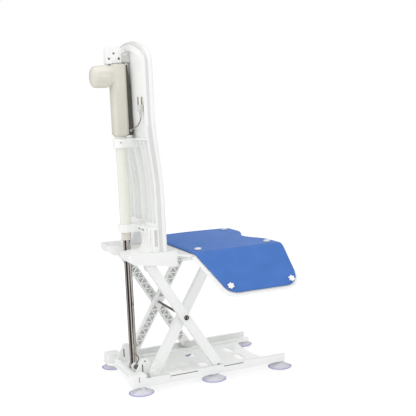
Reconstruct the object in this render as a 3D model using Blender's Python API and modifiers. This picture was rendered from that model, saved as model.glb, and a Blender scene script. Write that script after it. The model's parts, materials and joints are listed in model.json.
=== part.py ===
# Floor recovery chair: a scissor lift on suction cups raises a seat with two
# hinged side flaps and a backrest that carries a linear actuator.
# Metres, +Z up, -Y is the front, +X is the sitter's left.
# The origin is on the floor, in the middle of the chair's box.

import bpy
import bmesh
import math
from mathutils import Matrix, Vector

# General clearances
FIT = 0.0003            # gap between pieces that touch
RUN = 0.001             # gap between pieces that slide or turn past each other

# Scissor lift
ARM_HALF = 0.214        # pivot to pivot is twice this
REST_ANGLE = math.radians(58.5)
PIVOT_Y = 0.187         # rear pivots, on the base and on the seat
PIVOT_Z = 0.046         # lower rear pivot above the floor
ARM_THICK = 0.022
ARM_WIDTH = 0.032
ARM_WEB = 0.012         # closed outer skin of an arm
ARM_WALL = 0.0035       # flange along both edges of an arm
ARM_GAP = 0.003         # between the inner and the outer arm
INNER_ARM_X = 0.108     # inner face of the inner arm
RIB_PITCH = 0.0125      # step of the zigzag ribs
RIB_SHARE = 0.70        # how much of each zigzag triangle is hollow
BOSS_RADIUS = 0.0155
BOSS_HEIGHT = 0.003
AXLE_RADIUS = 0.004
BOLT_RADIUS = 0.0085
BOLT_HEIGHT = 0.003
PIN_RADIUS = 0.006
STUB_RADIUS = 0.005
ROLLER_RADIUS = 0.0117
ROLLER_WIDTH = 0.013

# Base
RAIL_OUTER = 0.1665     # outer face of the rails
RAIL_WALL = 0.006
RAIL_BOTTOM = 0.020
RAIL_TOP = 0.047
RAIL_FLOOR = 0.006      # thickness of the channel floor
RAIL_FLANGE = 0.003
RAIL_FRONT = -0.2895
BASE_REAR = 0.278
CROSS_FRONT = 0.145     # where the rails meet the rear cross-member
PLATE_THICK = 0.006
PLATE_DIP = 0.070       # depth of the concave front edge
BED_HEIGHT = 0.012
BED_FRONT = 0.030
PLATE_SLOTS = ((0.012, 0.080, -0.177, -0.150), (0.035, 0.085, -0.035, 0.000), (0.075, 0.108, 0.070, 0.120))
CORNER_TOP = 0.060
CORNER_WIDTH = 0.048
CORNER_DEPTH = 0.052
LUG_THICK = 0.010
LUG_RADIUS = 0.018
GUSSET_TOP = 0.095
GUSSET_HALF = 0.045
GUSSET_REAR = 0.248
GUSSET_SLOT = 0.004
CUP_RADIUS = 0.042
CUP_WALL = 0.0025
CUP_LIP = 0.008
CUP_NECK = 0.009
CUP_X = 0.156
CUP_YS = (0.246, -0.017, -0.273)

# Actuator
ACTUATOR_Y = 0.218
ROD_RADIUS = 0.0125
ROD_FOOT = 0.066
ROD_GRIP = 0.055        # rod end above the foot of the bush at rest
ROD_EYE_RADIUS = 0.011
CLEVIS_RADIUS = 0.0135
CLEVIS_CHEEK = 0.012
CLEVIS_HEAD = 0.004
CATCH_RADIUS = 0.002
CATCH_BOW = 0.010
CATCH_HEIGHT = 0.034
GROOVE_Z = 0.088
TUBE_RADIUS = 0.019
TUBE_BORE = 0.0145
TUBE_UP = 0.0545        # tube, housing and motor heights are above the deck
BUSH_RADIUS = 0.0165
BUSH_HEIGHT = 0.027
HOUSING_WIDTH = 0.054
HOUSING_ROUND = 0.015
HOUSING_DEPTH = 0.050
HOUSING_UP = 0.3785
HOUSING_HEIGHT = 0.239
SHELL_DEPTH = 0.014     # dark front half of the casing
MOTOR_RADIUS = 0.036
NECK_RADIUS = 0.0275
NECK_LENGTH = 0.004
NECK_TAPER = 0.018      # where the neck widens into the cap
MOTOR_DROP = 0.040      # motor axis below the housing's top
MOTOR_END = 0.315
COLLAR_HEIGHT = 0.031
COLLAR_WALL = 0.007
CLAMP_HEIGHT = 0.027
BAR_HALF = 0.105        # cross bar of the clamp
BAR_THICK = 0.008
BAR_HEIGHT = 0.018
BRACKET_HEIGHT = 0.060
BRACKET_ROUND = 0.016
BRACKET_HALF = 0.026
TOP_HALF = 0.016
TOP_SHIFT = 0.015       # the top bracket stands this far back on the housing
POST_HALF = 0.0145
POST_UP = 0.017
SCREW_RADIUS = 0.004
SCREW_DEPTH = 0.006
SCREW_SPREAD = 0.017

# Seat and flaps
HINGE_X = 0.214
HINGE_RISE = 0.03457    # flap hinge above the upper rear pivot
DROOP = math.radians(45.7)
PLATE_T = 0.006         # seat and flap plates
COVER_T = 0.0102
SEAT_FRONT = -0.266
SEAT_DIP = 0.038
DIP_HALF = 0.12
COVER_REAR = 0.064
COVER_EDGE = 0.010      # cover stops this far from the hinge axis
FLAP_WIDTH = 0.1642     # hinge axis to the outer edge of the cover
FLAP_MARGIN = 0.008     # white plate showing round the cover
FLAP_REAR = -0.0074     # outer rear corner before rounding
FLAP_CORNER = 0.050
KNUCKLE_RADIUS = 0.006
KNUCKLE_LENGTH = 0.040
SEAT_KNUCKLES = (-0.159, 0.000)   # where each barrel starts along Y
FLAP_KNUCKLES = (-0.200, -0.041)
HINGE_PIN = 0.003
DECK_HALF = 0.1665      # rear deck of the seat
DECK_FRONT = 0.100
DECK_REAR = 0.266
DECK_RISE = 0.04957     # deck above the upper rear pivot
DECK_DEPTH = 0.034
DECK_WALL = 0.008
DECK_UNDERCUT = 0.020   # how far the rear edge leans in towards its foot
UNDERCUT_HEIGHT = 0.014
SKIRT_DROP = 0.018      # side skirts hang lower at their front
NOTCH_HALF = 0.045
NOTCH_FRONT = 0.172
TRACK_WIDTH = 0.017
STUD_RADIUS = 0.0125
STUD_HEIGHT = 0.003
STUD_SHANK = 0.004
SEAT_STUDS = ((0.172, 0.028), (0.172, -0.230))
FLAP_STUDS = ((0.138, -0.018), (0.142, -0.238))   # along the flap, along Y

# Backrest
BACK_HALF = 0.165       # at the waist
SHOULDER_OUT = 0.019    # how much wider each shoulder is
BACK_CROWN = 0.042      # rise of the top edge from the shoulders to the middle
CROWN_SHARE = 0.30      # level share of the top edge
CROWN_SWEEP = 0.80      # how much of the level share is rounded
RIM_ROUND = 0.010
BACK_HEIGHT = 0.6895
BACK_CORNER = 0.060
BACK_THICK = 0.027
BACK_FRONT_LOW = 0.131
BACK_FRONT_HIGH = 0.157
BEND_LOW_UP = 0.1845    # heights above the deck
BEND_HIGH_UP = 0.4445
RIM_WIDTH = 0.030
RIM_DEPTH = 0.008
SHELF_UP = 0.3685
SHELF_THICK = 0.006
FOOT_UP = 0.0795
FOOT_REAR = 0.178
FLARE_OUT = 0.030       # the foot spreads onto the deck
FLARE_UP = 0.042
ARCH_HALF = 0.055
ARCH_UP = 0.0595
RIB_THICK = 0.004
RIB_XS = (0.055, 0.090)
SLOT_WIDTH = 0.006
SLOT_UP = 0.0235

# Plug and cord
PLUG_X = -0.125
PLUG_UP = 0.4375
PLUG_LENGTH = 0.042
PLUG_RADIUS = 0.011
PLUG_PIN = 0.0022
PLUG_PIN_LENGTH = 0.026
PLUG_PIN_GAP = 0.006
CORD_RADIUS = 0.002
GLAND_RADIUS = 0.0045
GLAND_LENGTH = 0.007

# Worked out from the sizes above
OUTER_ARM_X = INNER_ARM_X + ARM_THICK + ARM_GAP
OUTER_FACE = OUTER_ARM_X + ARM_THICK
CENTRE_Y = PIVOT_Y - ARM_HALF * math.cos(REST_ANGLE)
CENTRE_Z = PIVOT_Z + ARM_HALF * math.sin(REST_ANGLE)
SLIDE_Y = PIVOT_Y - 2 * ARM_HALF * math.cos(REST_ANGLE)
TOP_PIVOT_Z = PIVOT_Z + 2 * ARM_HALF * math.sin(REST_ANGLE)
HINGE_Z = TOP_PIVOT_Z + HINGE_RISE
DECK_TOP = TOP_PIVOT_Z + DECK_RISE
TRACK_TOP = PIVOT_Z - ROLLER_RADIUS - FIT
TRACK_OUTER = OUTER_ARM_X - RUN / 2
TRACK_INNER = TRACK_OUTER - ROLLER_WIDTH - RUN
CHANNEL_TOP = RAIL_BOTTOM + RAIL_FLOOR
SLAB_TOP = PIVOT_Z - ARM_WIDTH / 2 - 0.002
PLATE_TOP = HINGE_Z + PLATE_T / 2
PLATE_BOTTOM = HINGE_Z - PLATE_T / 2
COVER_BOTTOM = PLATE_TOP + FIT
COVER_TOP = COVER_BOTTOM + COVER_T
DECK_BOTTOM = DECK_TOP - DECK_DEPTH
BACK_TOP = DECK_TOP + BACK_HEIGHT
BEND_LOW = DECK_TOP + BEND_LOW_UP
BEND_HIGH = DECK_TOP + BEND_HIGH_UP
SHELF_Z = DECK_TOP + SHELF_UP
FOOT_TOP = DECK_TOP + FOOT_UP
ARCH_TOP = DECK_TOP + ARCH_UP
SLOT_BOTTOM = DECK_TOP + SLOT_UP
PLUG_Z = DECK_TOP + PLUG_UP
TUBE_BOTTOM = DECK_TOP + TUBE_UP
ROD_TOP = TUBE_BOTTOM - BUSH_HEIGHT + ROD_GRIP
HOUSING_BOTTOM = DECK_TOP + HOUSING_UP
HOUSING_TOP = HOUSING_BOTTOM + HOUSING_HEIGHT
MOTOR_Z = HOUSING_TOP - MOTOR_DROP
TUBE_TOP = HOUSING_BOTTOM - FIT
HOUSING_FRONT = ACTUATOR_Y - HOUSING_DEPTH / 2
HOUSING_REAR = ACTUATOR_Y + HOUSING_DEPTH / 2


def clear_scene():
    for obj in list(bpy.data.objects):
        bpy.data.objects.remove(obj, do_unlink=True)


def make_collection(name):
    group = bpy.data.collections.new(name)
    bpy.context.scene.collection.children.link(group)
    return group


def make_material(name, colour, roughness, metallic=0.0):
    material = bpy.data.materials.new(name)
    material.use_nodes = True
    shader = material.node_tree.nodes["Principled BSDF"]
    shader.inputs["Base Color"].default_value = (*colour, 1.0)
    shader.inputs["Roughness"].default_value = roughness
    shader.inputs["Metallic"].default_value = metallic
    return material


clear_scene()
PARTS = make_collection("floor_recovery_chair")
WHITE = make_material("white_plastic", (0.86, 0.87, 0.87), 0.35)
IVORY = make_material("ivory_plastic", (0.73, 0.70, 0.63), 0.38)
CREAM = make_material("cream_tube", (0.80, 0.80, 0.74), 0.35)
DARK = make_material("dark_casing", (0.16, 0.155, 0.13), 0.45)
CHROME = make_material("chrome_rod", (0.55, 0.52, 0.50), 0.12, 1.0)
STEEL = make_material("dark_steel", (0.22, 0.21, 0.20), 0.30, 1.0)
BLUE = make_material("blue_cover", (0.06, 0.16, 0.55), 0.80)
CUP = make_material("violet_cup", (0.72, 0.70, 0.86), 0.25)
GREY = make_material("grey_plug", (0.62, 0.62, 0.58), 0.45)


def make_empty(name, location, parent=None):
    empty = bpy.data.objects.new(name, None)
    PARTS.objects.link(empty)
    empty.parent = parent
    empty.location = Vector(location)
    if parent:
        empty.location -= parent.matrix_world.translation
    bpy.context.view_layer.update()
    return empty


def from_bmesh(bm):
    mesh = bpy.data.meshes.new("work")
    bm.to_mesh(mesh)
    bm.free()
    obj = bpy.data.objects.new("work", mesh)
    PARTS.objects.link(obj)
    return obj


def bake(obj):
    """Turn a curve, or a mesh with modifiers, into a plain welded mesh object."""
    bpy.context.view_layer.update()
    graph = bpy.context.evaluated_depsgraph_get()
    mesh = bpy.data.meshes.new_from_object(obj.evaluated_get(graph))
    mesh.transform(obj.matrix_world)
    bm = bmesh.new()
    bm.from_mesh(mesh)
    bmesh.ops.remove_doubles(bm, verts=bm.verts, dist=0.00001)
    bmesh.ops.dissolve_degenerate(bm, edges=bm.edges, dist=0.000001)
    bpy.data.meshes.remove(mesh)
    bpy.data.objects.remove(obj, do_unlink=True)
    return from_bmesh(bm)


def combine(target, tool, operation):
    modifier = target.modifiers.new(operation.lower(), "BOOLEAN")
    modifier.operation = operation
    modifier.solver = "EXACT"
    modifier.object = tool
    result = bake(target)
    bpy.data.objects.remove(tool, do_unlink=True)
    return result


def cut(target, *tools):
    for tool in tools:
        target = combine(target, tool, "DIFFERENCE")
    return target


def join(target, *tools):
    for tool in tools:
        target = combine(target, tool, "UNION")
    return target


def soften(obj, width, segments=2, angle=40):
    """Round the edges, after flat faces that were cut up are made whole."""
    bm = bmesh.new()
    bm.from_mesh(obj.data)
    bmesh.ops.dissolve_limit(bm, angle_limit=math.radians(1), verts=bm.verts[:], edges=bm.edges[:])
    bm.to_mesh(obj.data)
    bm.free()
    modifier = obj.modifiers.new("round", "BEVEL")
    modifier.width = width
    modifier.segments = segments
    modifier.limit_method = "ANGLE"
    modifier.angle_limit = math.radians(angle)
    return bake(obj)


def box(low, high):
    """A block between two corners."""
    low = Vector(low)
    high = Vector(high)
    bm = bmesh.new()
    place = Matrix.Translation((low + high) / 2) @ Matrix.Diagonal((*(high - low), 1.0))
    bmesh.ops.create_cube(bm, size=1.0, matrix=place)
    return from_bmesh(bm)


TURN = {
    "X": Matrix(((0, 0, 1, 0), (1, 0, 0, 0), (0, 1, 0, 0), (0, 0, 0, 1))),
    "Y": Matrix(((1, 0, 0, 0), (0, 0, -1, 0), (0, 1, 0, 0), (0, 0, 0, 1))),
    "Z": Matrix.Identity(4),
}
AXES = {"X": Vector((1, 0, 0)), "Y": Vector((0, 1, 0)), "Z": Vector((0, 0, 1))}


def rod(axis, start, length, radius, sides=24):
    """A round bar from a start point along +axis."""
    bm = bmesh.new()
    middle = Vector(start) + AXES[axis] * length / 2
    bmesh.ops.create_cone(
        bm, cap_ends=True, segments=sides, radius1=radius, radius2=radius, depth=length,
        matrix=Matrix.Translation(middle) @ TURN[axis])
    return from_bmesh(bm)


def prism(points, axis, low, high):
    """A flat outline, filled and extruded along an axis.

    The outline is (y, z) along X, (x, z) along Y and (x, y) along Z.
    """
    curve = bpy.data.curves.new("outline", "CURVE")
    curve.dimensions = "2D"
    curve.fill_mode = "BOTH"
    curve.extrude = (high - low) / 2
    spline = curve.splines.new("POLY")
    spline.points.add(len(points) - 1)
    spline.use_cyclic_u = True
    for point, (u, v) in zip(spline.points, points):
        point.co = (u, v, 0.0, 1.0)
    obj = bpy.data.objects.new("outline", curve)
    PARTS.objects.link(obj)
    obj.matrix_world = Matrix.Translation(AXES[axis] * (low + high) / 2) @ TURN[axis]
    return bake(obj)


def turned(profile, axis, origin, steps=32, ring=False):
    """A profile of (radius, height) points spun about an axis through origin."""
    bm = bmesh.new()
    verts = [bm.verts.new((radius, 0.0, height)) for radius, height in profile]
    pairs = list(zip(verts, verts[1:]))
    if ring:
        pairs.append((verts[-1], verts[0]))
    for first, second in pairs:
        bm.edges.new((first, second))
    obj = from_bmesh(bm)
    obj.matrix_world = Matrix.Translation(origin) @ TURN[axis]
    screw = obj.modifiers.new("turn", "SCREW")
    screw.axis = "Z"
    screw.steps = steps
    screw.render_steps = steps
    screw.use_merge_vertices = True
    screw.merge_threshold = 0.00001
    obj = bake(obj)
    bm = bmesh.new()
    bm.from_mesh(obj.data)
    bmesh.ops.recalc_face_normals(bm, faces=bm.faces)
    bm.to_mesh(obj.data)
    bm.free()
    return obj


def arc(centre, radius, first, last, steps):
    """Points on a round stretch, angles in degrees."""
    points = []
    for index in range(steps + 1):
        angle = math.radians(first + (last - first) * index / steps)
        points.append((centre[0] + radius * math.cos(angle), centre[1] + radius * math.sin(angle)))
    return points


def rounded(corners, steps=4):
    """An outline from (u, v, radius) corners, with round stretches at them."""
    points = []
    count = len(corners)
    for index, (u, v, radius) in enumerate(corners):
        here = Vector((u, v))
        if radius <= 0:
            points.append((u, v))
            continue
        before = (Vector(corners[index - 1][:2]) - here).normalized()
        after = (Vector(corners[(index + 1) % count][:2]) - here).normalized()
        half = before.angle(after) / 2
        reach = radius / math.tan(half)
        centre = here + (before + after).normalized() * radius / math.sin(half)
        start = here + before * reach - centre
        sweep = math.pi - 2 * half
        sign = 1 if before.x * after.y - before.y * after.x < 0 else -1
        for step in range(steps + 1):
            turn = Matrix.Rotation(sign * sweep * step / steps, 2)
            point = centre + turn @ start
            points.append((point.x, point.y))
    return points


def mirrored(obj):
    """A copy on the other side of the chair's middle plane."""
    mesh = obj.data.copy()
    mesh.transform(Matrix.Scale(-1, 4, (1, 0, 0)))
    mesh.flip_normals()
    twin = bpy.data.objects.new("work", mesh)
    PARTS.objects.link(twin)
    return twin


def node(obj, name, material, parent=None):
    """Name a finished sub-part, give it its material and hang it on its axis."""
    obj.name = name
    obj.data.name = name
    obj.data.materials.clear()
    obj.data.materials.append(material)
    obj.data.shade_smooth()
    obj.data.set_sharp_from_angle(angle=math.radians(35))
    if parent:
        obj.parent = parent
        obj.matrix_parent_inverse = parent.matrix_world.inverted()
    return obj


def pair(obj, name, material, parents=(None, None)):
    """The same sub-part on the left and on the right."""
    twin = mirrored(obj)
    node(obj, name + "_left", material, parents[0])
    node(twin, name + "_right", material, parents[1])


# Empties on the joint axes
LIFT_AXIS = make_empty("lift_axis", (0, PIVOT_Y, PIVOT_Z))
CROSS_AXIS = make_empty("cross_axis", (0, CENTRE_Y, CENTRE_Z), LIFT_AXIS)
SEAT_AXIS = make_empty("seat_axis", (0, PIVOT_Y, TOP_PIVOT_Z), CROSS_AXIS)
FLAP_AXES = (
    make_empty("flap_left_axis", (HINGE_X, 0, HINGE_Z), SEAT_AXIS),
    make_empty("flap_right_axis", (-HINGE_X, 0, HINGE_Z), SEAT_AXIS),
)


# Base: rails, floor plate, rear cross-member and suction cups

def lug_outline(pivot_z, radius, end_z):
    """A tab round the rear pivot that runs straight to a given height."""
    if end_z < pivot_z:
        return arc((PIVOT_Y, pivot_z), radius, 0, 180, 10) + [
            (PIVOT_Y - radius, end_z), (PIVOT_Y + radius, end_z)]
    return arc((PIVOT_Y, pivot_z), radius, 180, 360, 10) + [
        (PIVOT_Y + radius, end_z), (PIVOT_Y - radius, end_z)]


def build_rails():
    wall = RAIL_OUTER - RAIL_WALL
    lip = OUTER_FACE + RUN
    section = [
        (RAIL_OUTER, RAIL_BOTTOM), (RAIL_OUTER, RAIL_TOP), (lip, RAIL_TOP),
        (lip, RAIL_TOP - RAIL_FLANGE), (wall, RAIL_TOP - RAIL_FLANGE), (wall, CHANNEL_TOP),
        (TRACK_OUTER, CHANNEL_TOP), (TRACK_OUTER, TRACK_TOP),
        (TRACK_INNER, TRACK_TOP), (TRACK_INNER, RAIL_BOTTOM)]
    pair(prism(section, "Y", RAIL_FRONT, CROSS_FRONT - FIT), "rail", WHITE)


def build_floor_plate():
    half = TRACK_INNER - FIT
    wide = RAIL_OUTER - RAIL_WALL
    rear = CROSS_FRONT - FIT
    top = RAIL_BOTTOM + PLATE_THICK
    edge = []
    for step in range(-8, 9):
        x = half * step / 8
        edge.append((x, RAIL_FRONT + PLATE_DIP * math.sqrt(1 - (x / wide) ** 2)))
    plate = prism(edge + [(half, rear), (-half, rear)], "Z", RAIL_BOTTOM, top)
    bed_half = half / 2
    slope = BED_HEIGHT / 2
    bed = prism(
        [(-bed_half - slope, top - PLATE_THICK / 2), (bed_half + slope, top - PLATE_THICK / 2),
         (bed_half, top + BED_HEIGHT), (-bed_half, top + BED_HEIGHT)],
        "Y", BED_FRONT, rear - PLATE_THICK)
    plate = join(plate, bed)
    for x_low, x_high, y_low, y_high in PLATE_SLOTS:
        for side in (-1, 1):
            low = (min(side * x_low, side * x_high), y_low, RAIL_BOTTOM - RUN)
            high = (max(side * x_low, side * x_high), y_high, top + RUN)
            plate = cut(plate, box(low, high))
    node(plate, "base_plate", WHITE)


def gusset(side, face):
    """An upright web with a slot behind an inner lug, which stiffens the foot of the arms."""
    foot = RAIL_BOTTOM + FIT
    middle = GUSSET_REAR - GUSSET_HALF
    outline = rounded([
        (middle - GUSSET_HALF, foot, 0), (GUSSET_REAR, foot, 0), (GUSSET_REAR, PIVOT_Z, RAIL_WALL),
        (middle + LUG_RADIUS, GUSSET_TOP, RAIL_WALL), (middle, GUSSET_TOP, RAIL_WALL)], 3)
    ends = sorted((side * (face - RUN), side * (face - LUG_THICK + RUN)))
    plate = prism(outline, "X", *ends)
    slot_y = middle + LUG_RADIUS
    slot = box((ends[0] - RUN, slot_y - GUSSET_SLOT / 2, PIVOT_Z + RUN),
               (ends[1] + RUN, slot_y + GUSSET_SLOT / 2, GUSSET_TOP - LUG_RADIUS))
    return cut(plate, slot)


def build_cross_member():
    dip = CORNER_DEPTH / 3
    slab = prism(
        [(-RAIL_OUTER, CROSS_FRONT), (RAIL_OUTER, CROSS_FRONT), (RAIL_OUTER, BASE_REAR),
         (RAIL_OUTER - CORNER_WIDTH, BASE_REAR), (RAIL_OUTER - CORNER_WIDTH - dip, BASE_REAR - dip),
         (CORNER_WIDTH + dip - RAIL_OUTER, BASE_REAR - dip), (CORNER_WIDTH - RAIL_OUTER, BASE_REAR),
         (-RAIL_OUTER, BASE_REAR)],
        "Z", RAIL_BOTTOM, SLAB_TOP)
    ridge_rear = BASE_REAR - dip - RAIL_WALL
    ridge_front = ACTUATOR_Y + CLEVIS_RADIUS + RUN
    ridge_half = RAIL_OUTER - CORNER_WIDTH + RAIL_WALL
    ridge = prism(
        [(ridge_front, RAIL_BOTTOM + FIT), (ridge_rear, RAIL_BOTTOM + FIT),
         (ridge_rear - RAIL_WALL, RAIL_TOP - RAIL_WALL), (ridge_front + RAIL_WALL, RAIL_TOP - RAIL_WALL)],
        "X", -ridge_half, ridge_half)
    cross = join(slab, ridge)
    inner_lug = INNER_ARM_X - RUN
    outer_lug = INNER_ARM_X + ARM_THICK + RUN
    for side in (-1, 1):
        corner = soften(box(
            (side * (RAIL_OUTER - CORNER_WIDTH / 2) - CORNER_WIDTH / 2 + FIT, BASE_REAR - CORNER_DEPTH,
             RAIL_BOTTOM + FIT),
            (side * (RAIL_OUTER - CORNER_WIDTH / 2) + CORNER_WIDTH / 2 - FIT, BASE_REAR - FIT,
             CORNER_TOP)), RAIL_WALL)
        wall_middle = side * (RAIL_OUTER - RAIL_WALL / 2)
        wall = box(
            (wall_middle - RAIL_WALL / 2 + FIT, CROSS_FRONT + FIT, RAIL_BOTTOM + FIT),
            (wall_middle + RAIL_WALL / 2 - FIT, BASE_REAR - CORNER_DEPTH / 2, RAIL_TOP))
        cross = join(cross, corner, wall)
        for face in (inner_lug - LUG_THICK, outer_lug):
            ends = sorted((side * face, side * (face + LUG_THICK)))
            cross = join(cross, prism(lug_outline(PIVOT_Z, LUG_RADIUS, RAIL_BOTTOM + FIT), "X", *ends))
        cross = join(cross, gusset(side, inner_lug))
    bore = rod("X", (-RAIL_OUTER + RAIL_WALL, PIVOT_Y, PIVOT_Z), 2 * (RAIL_OUTER - RAIL_WALL),
               PIN_RADIUS + FIT)
    node(cut(cross, bore), "rear_crossmember", WHITE)
    pin = rod("X", (inner_lug - LUG_THICK, PIVOT_Y, PIVOT_Z),
              outer_lug - inner_lug + 2 * LUG_THICK, PIN_RADIUS)
    pair(pin, "base_pivot_pin", STEEL)


def build_cups():
    top = RAIL_BOTTOM - FIT
    shoulder = 2 * CUP_NECK
    profile = [
        (0, top), (CUP_NECK, top), (CUP_NECK, top * 0.8), (shoulder, top * 0.63),
        (CUP_RADIUS, CUP_WALL), (CUP_RADIUS, 0), (CUP_RADIUS - CUP_LIP, 0),
        (shoulder, top * 0.63 - CUP_WALL * 1.4), (0, top * 0.63 - CUP_WALL)]
    for label, y in zip(("rear", "middle", "front"), CUP_YS):
        pair(turned(profile, "Z", (CUP_X, y, 0), 20), "suction_cup_" + label, CUP)


# Rod and its foot

def build_rod():
    cheek = ROD_RADIUS + RUN
    outer = cheek + CLEVIS_CHEEK
    seat = SLAB_TOP + FIT
    reach = CLEVIS_RADIUS
    outline = arc((ACTUATOR_Y, PIVOT_Z), reach, 0, 180, 10) + [
        (ACTUATOR_Y - reach, seat), (ACTUATOR_Y + reach, seat)]
    clevis = prism(outline, "X", -outer, outer)
    eye_bottom = PIVOT_Z - ROD_EYE_RADIUS
    clevis = cut(
        clevis,
        box((-cheek, ACTUATOR_Y - 2 * reach, eye_bottom - RUN), (cheek, ACTUATOR_Y + 2 * reach, ROD_FOOT)),
        rod("X", (-2 * outer, ACTUATOR_Y, PIVOT_Z), 4 * outer, STUB_RADIUS + FIT))
    node(clevis, "rod_clevis", WHITE)
    head = 1.7 * STUB_RADIUS
    pin = turned(
        [(0, outer), (STUB_RADIUS, outer), (STUB_RADIUS, -outer - FIT), (head, -outer - FIT),
         (head, -outer - CLEVIS_HEAD), (head / 2, -outer - CLEVIS_HEAD),
         (head / 2, -outer - CLEVIS_HEAD / 2), (0, -outer - CLEVIS_HEAD / 2)],
        "X", (0, ACTUATOR_Y, PIVOT_Z), 24)
    node(pin, "clevis_pin", STEEL)
    groove = ROD_RADIUS / 12
    shaft = turned(
        [(0, ROD_TOP), (ROD_RADIUS - 2 * groove, ROD_TOP), (ROD_RADIUS, ROD_TOP - 2 * groove),
         (ROD_RADIUS, GROOVE_Z + groove), (ROD_RADIUS - groove, GROOVE_Z), (ROD_RADIUS, GROOVE_Z - groove),
         (ROD_RADIUS, ROD_FOOT), (ROD_EYE_RADIUS, ROD_FOOT), (ROD_EYE_RADIUS, eye_bottom), (0, eye_bottom)],
        "Z", (0, ACTUATOR_Y, 0), 20)
    bore = rod("X", (-2 * ROD_RADIUS, ACTUATOR_Y, PIVOT_Z), 4 * ROD_RADIUS, STUB_RADIUS + FIT)
    node(cut(shaft, bore), "piston_rod", CHROME)
    side = -outer - FIT - CATCH_RADIUS
    start = PIVOT_Z + head + CATCH_RADIUS + RUN
    points = []
    for step in range(13):
        share = step / 12
        bow = CATCH_BOW * math.sin(math.pi * share)
        points.append((side, ACTUATOR_Y - bow, start + CATCH_HEIGHT * share))
    node(tube(points, CATCH_RADIUS), "rod_catch", STEEL)


def tube(points, radius):
    """A round wire along a list of points."""
    curve = bpy.data.curves.new("wire", "CURVE")
    curve.dimensions = "3D"
    curve.bevel_depth = radius
    curve.bevel_resolution = 2
    curve.use_fill_caps = True
    spline = curve.splines.new("POLY")
    spline.points.add(len(points) - 1)
    for point, place in zip(spline.points, points):
        point.co = (*place, 1.0)
    obj = bpy.data.objects.new("wire", curve)
    PARTS.objects.link(obj)
    return bake(obj)


# Scissor arms

def arm_frame(angle, inner_face):
    """From arm space (along, across, outward) to the chair, for the left side."""
    along = Vector((0, math.cos(angle), math.sin(angle)))
    across = Vector((0, -math.sin(angle), math.cos(angle)))
    outward = Vector((1, 0, 0))
    turn = Matrix((along, across, outward)).transposed().to_4x4()
    return Matrix.Translation((inner_face, CENTRE_Y, CENTRE_Z)) @ turn


def zigzag_pockets():
    """Three-sided pockets, turned in step, that leave a zigzag of ribs between them."""
    high = ARM_WIDTH - 2 * ARM_WALL
    depth = ARM_THICK - ARM_WEB
    reach = ARM_HALF - ARM_WIDTH * 0.9
    start = BOSS_RADIUS + ARM_WALL
    count = int((reach - start) / RIB_PITCH)
    bm = bmesh.new()
    for end in (-1, 1):
        for index in range(count):
            along = end * (start + RIB_PITCH * (index + 0.5))
            upright = index % 2 == 0
            shift = -high / 6 if upright else high / 6
            scale = Matrix.Diagonal((RIB_SHARE * 2 * RIB_PITCH / math.sqrt(3), RIB_SHARE * high / 1.5,
                                     depth, 1.0))
            place = Matrix.Translation((along, shift, depth / 2 - FIT))
            turn = Matrix.Rotation(0 if upright else math.pi, 4, "Z")
            bmesh.ops.create_cone(bm, cap_ends=True, segments=3, radius1=1, radius2=1, depth=1,
                                  matrix=place @ scale @ turn)
    return from_bmesh(bm)


def build_arm(angle, inner_face, boss, lower_hole, upper_hole):
    round_end = ARM_WIDTH / 2
    bar = prism(arc((ARM_HALF, 0), round_end, -90, 90, 8) + arc((-ARM_HALF, 0), round_end, 90, 270, 8),
                "Z", 0, ARM_THICK)
    bar = cut(bar, zigzag_pockets())
    if boss:
        bar = join(bar, rod("Z", (0, 0, ARM_THICK - RUN), boss + RUN, BOSS_RADIUS))
    for along, radius in ((-ARM_HALF, lower_hole), (0, AXLE_RADIUS), (ARM_HALF, upper_hole)):
        bar = cut(bar, rod("Z", (along, 0, -ARM_THICK), 3 * ARM_THICK, radius + FIT))
    bar.data.transform(arm_frame(angle, inner_face))
    return bar


def roller(inner_end, z):
    """A wheel on a stub that sits in the bore at an arm's end."""
    stub = ROLLER_WIDTH + FIT + ARM_THICK * 0.75
    return turned(
        [(0, stub), (STUB_RADIUS, stub), (STUB_RADIUS, ROLLER_WIDTH), (ROLLER_RADIUS - RUN, ROLLER_WIDTH),
         (ROLLER_RADIUS, ROLLER_WIDTH - RUN), (ROLLER_RADIUS, RUN), (ROLLER_RADIUS - RUN, 0), (0, 0)],
        "X", (inner_end, SLIDE_Y, z), 24)


def build_arms():
    lift = (LIFT_AXIS, LIFT_AXIS)
    cross = (CROSS_AXIS, CROSS_AXIS)
    inner = build_arm(math.pi - REST_ANGLE, INNER_ARM_X, 0, PIN_RADIUS, STUB_RADIUS)
    pair(inner, "inner_arm", WHITE, lift)
    outer = build_arm(REST_ANGLE, OUTER_ARM_X, BOSS_HEIGHT, STUB_RADIUS, PIN_RADIUS)
    pair(outer, "outer_arm", WHITE, cross)
    pair(roller(INNER_ARM_X - FIT - ROLLER_WIDTH, TOP_PIVOT_Z), "upper_roller", GREY, lift)
    pair(roller(OUTER_ARM_X - FIT - ROLLER_WIDTH, PIVOT_Z), "foot_roller", GREY, cross)
    axle_end = OUTER_FACE + BOSS_HEIGHT
    axle = rod("X", (-axle_end, CENTRE_Y, CENTRE_Z), 2 * axle_end, AXLE_RADIUS)
    node(axle, "centre_axle", STEEL, LIFT_AXIS)
    socket = BOLT_RADIUS / 2
    bolt = turned(
        [(0, BOLT_HEIGHT / 3), (socket, BOLT_HEIGHT / 3), (socket, BOLT_HEIGHT),
         (BOLT_RADIUS - RUN, BOLT_HEIGHT), (BOLT_RADIUS, BOLT_HEIGHT - RUN), (BOLT_RADIUS, 0), (0, 0)],
        "X", (axle_end + FIT, CENTRE_Y, CENTRE_Z), 24)
    pair(bolt, "centre_bolt", STEEL, cross)


build_rails()
build_floor_plate()
build_cross_member()
build_cups()
build_rod()
build_arms()


# Seat: plate, deck, tracks and hinge knuckles in one moulding, with its cover

def whole(half):
    """A symmetric outline from its +X half, listed from the rear to the front."""
    return half + [(-x, y) for x, y in reversed(half) if x > FIT]


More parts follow.
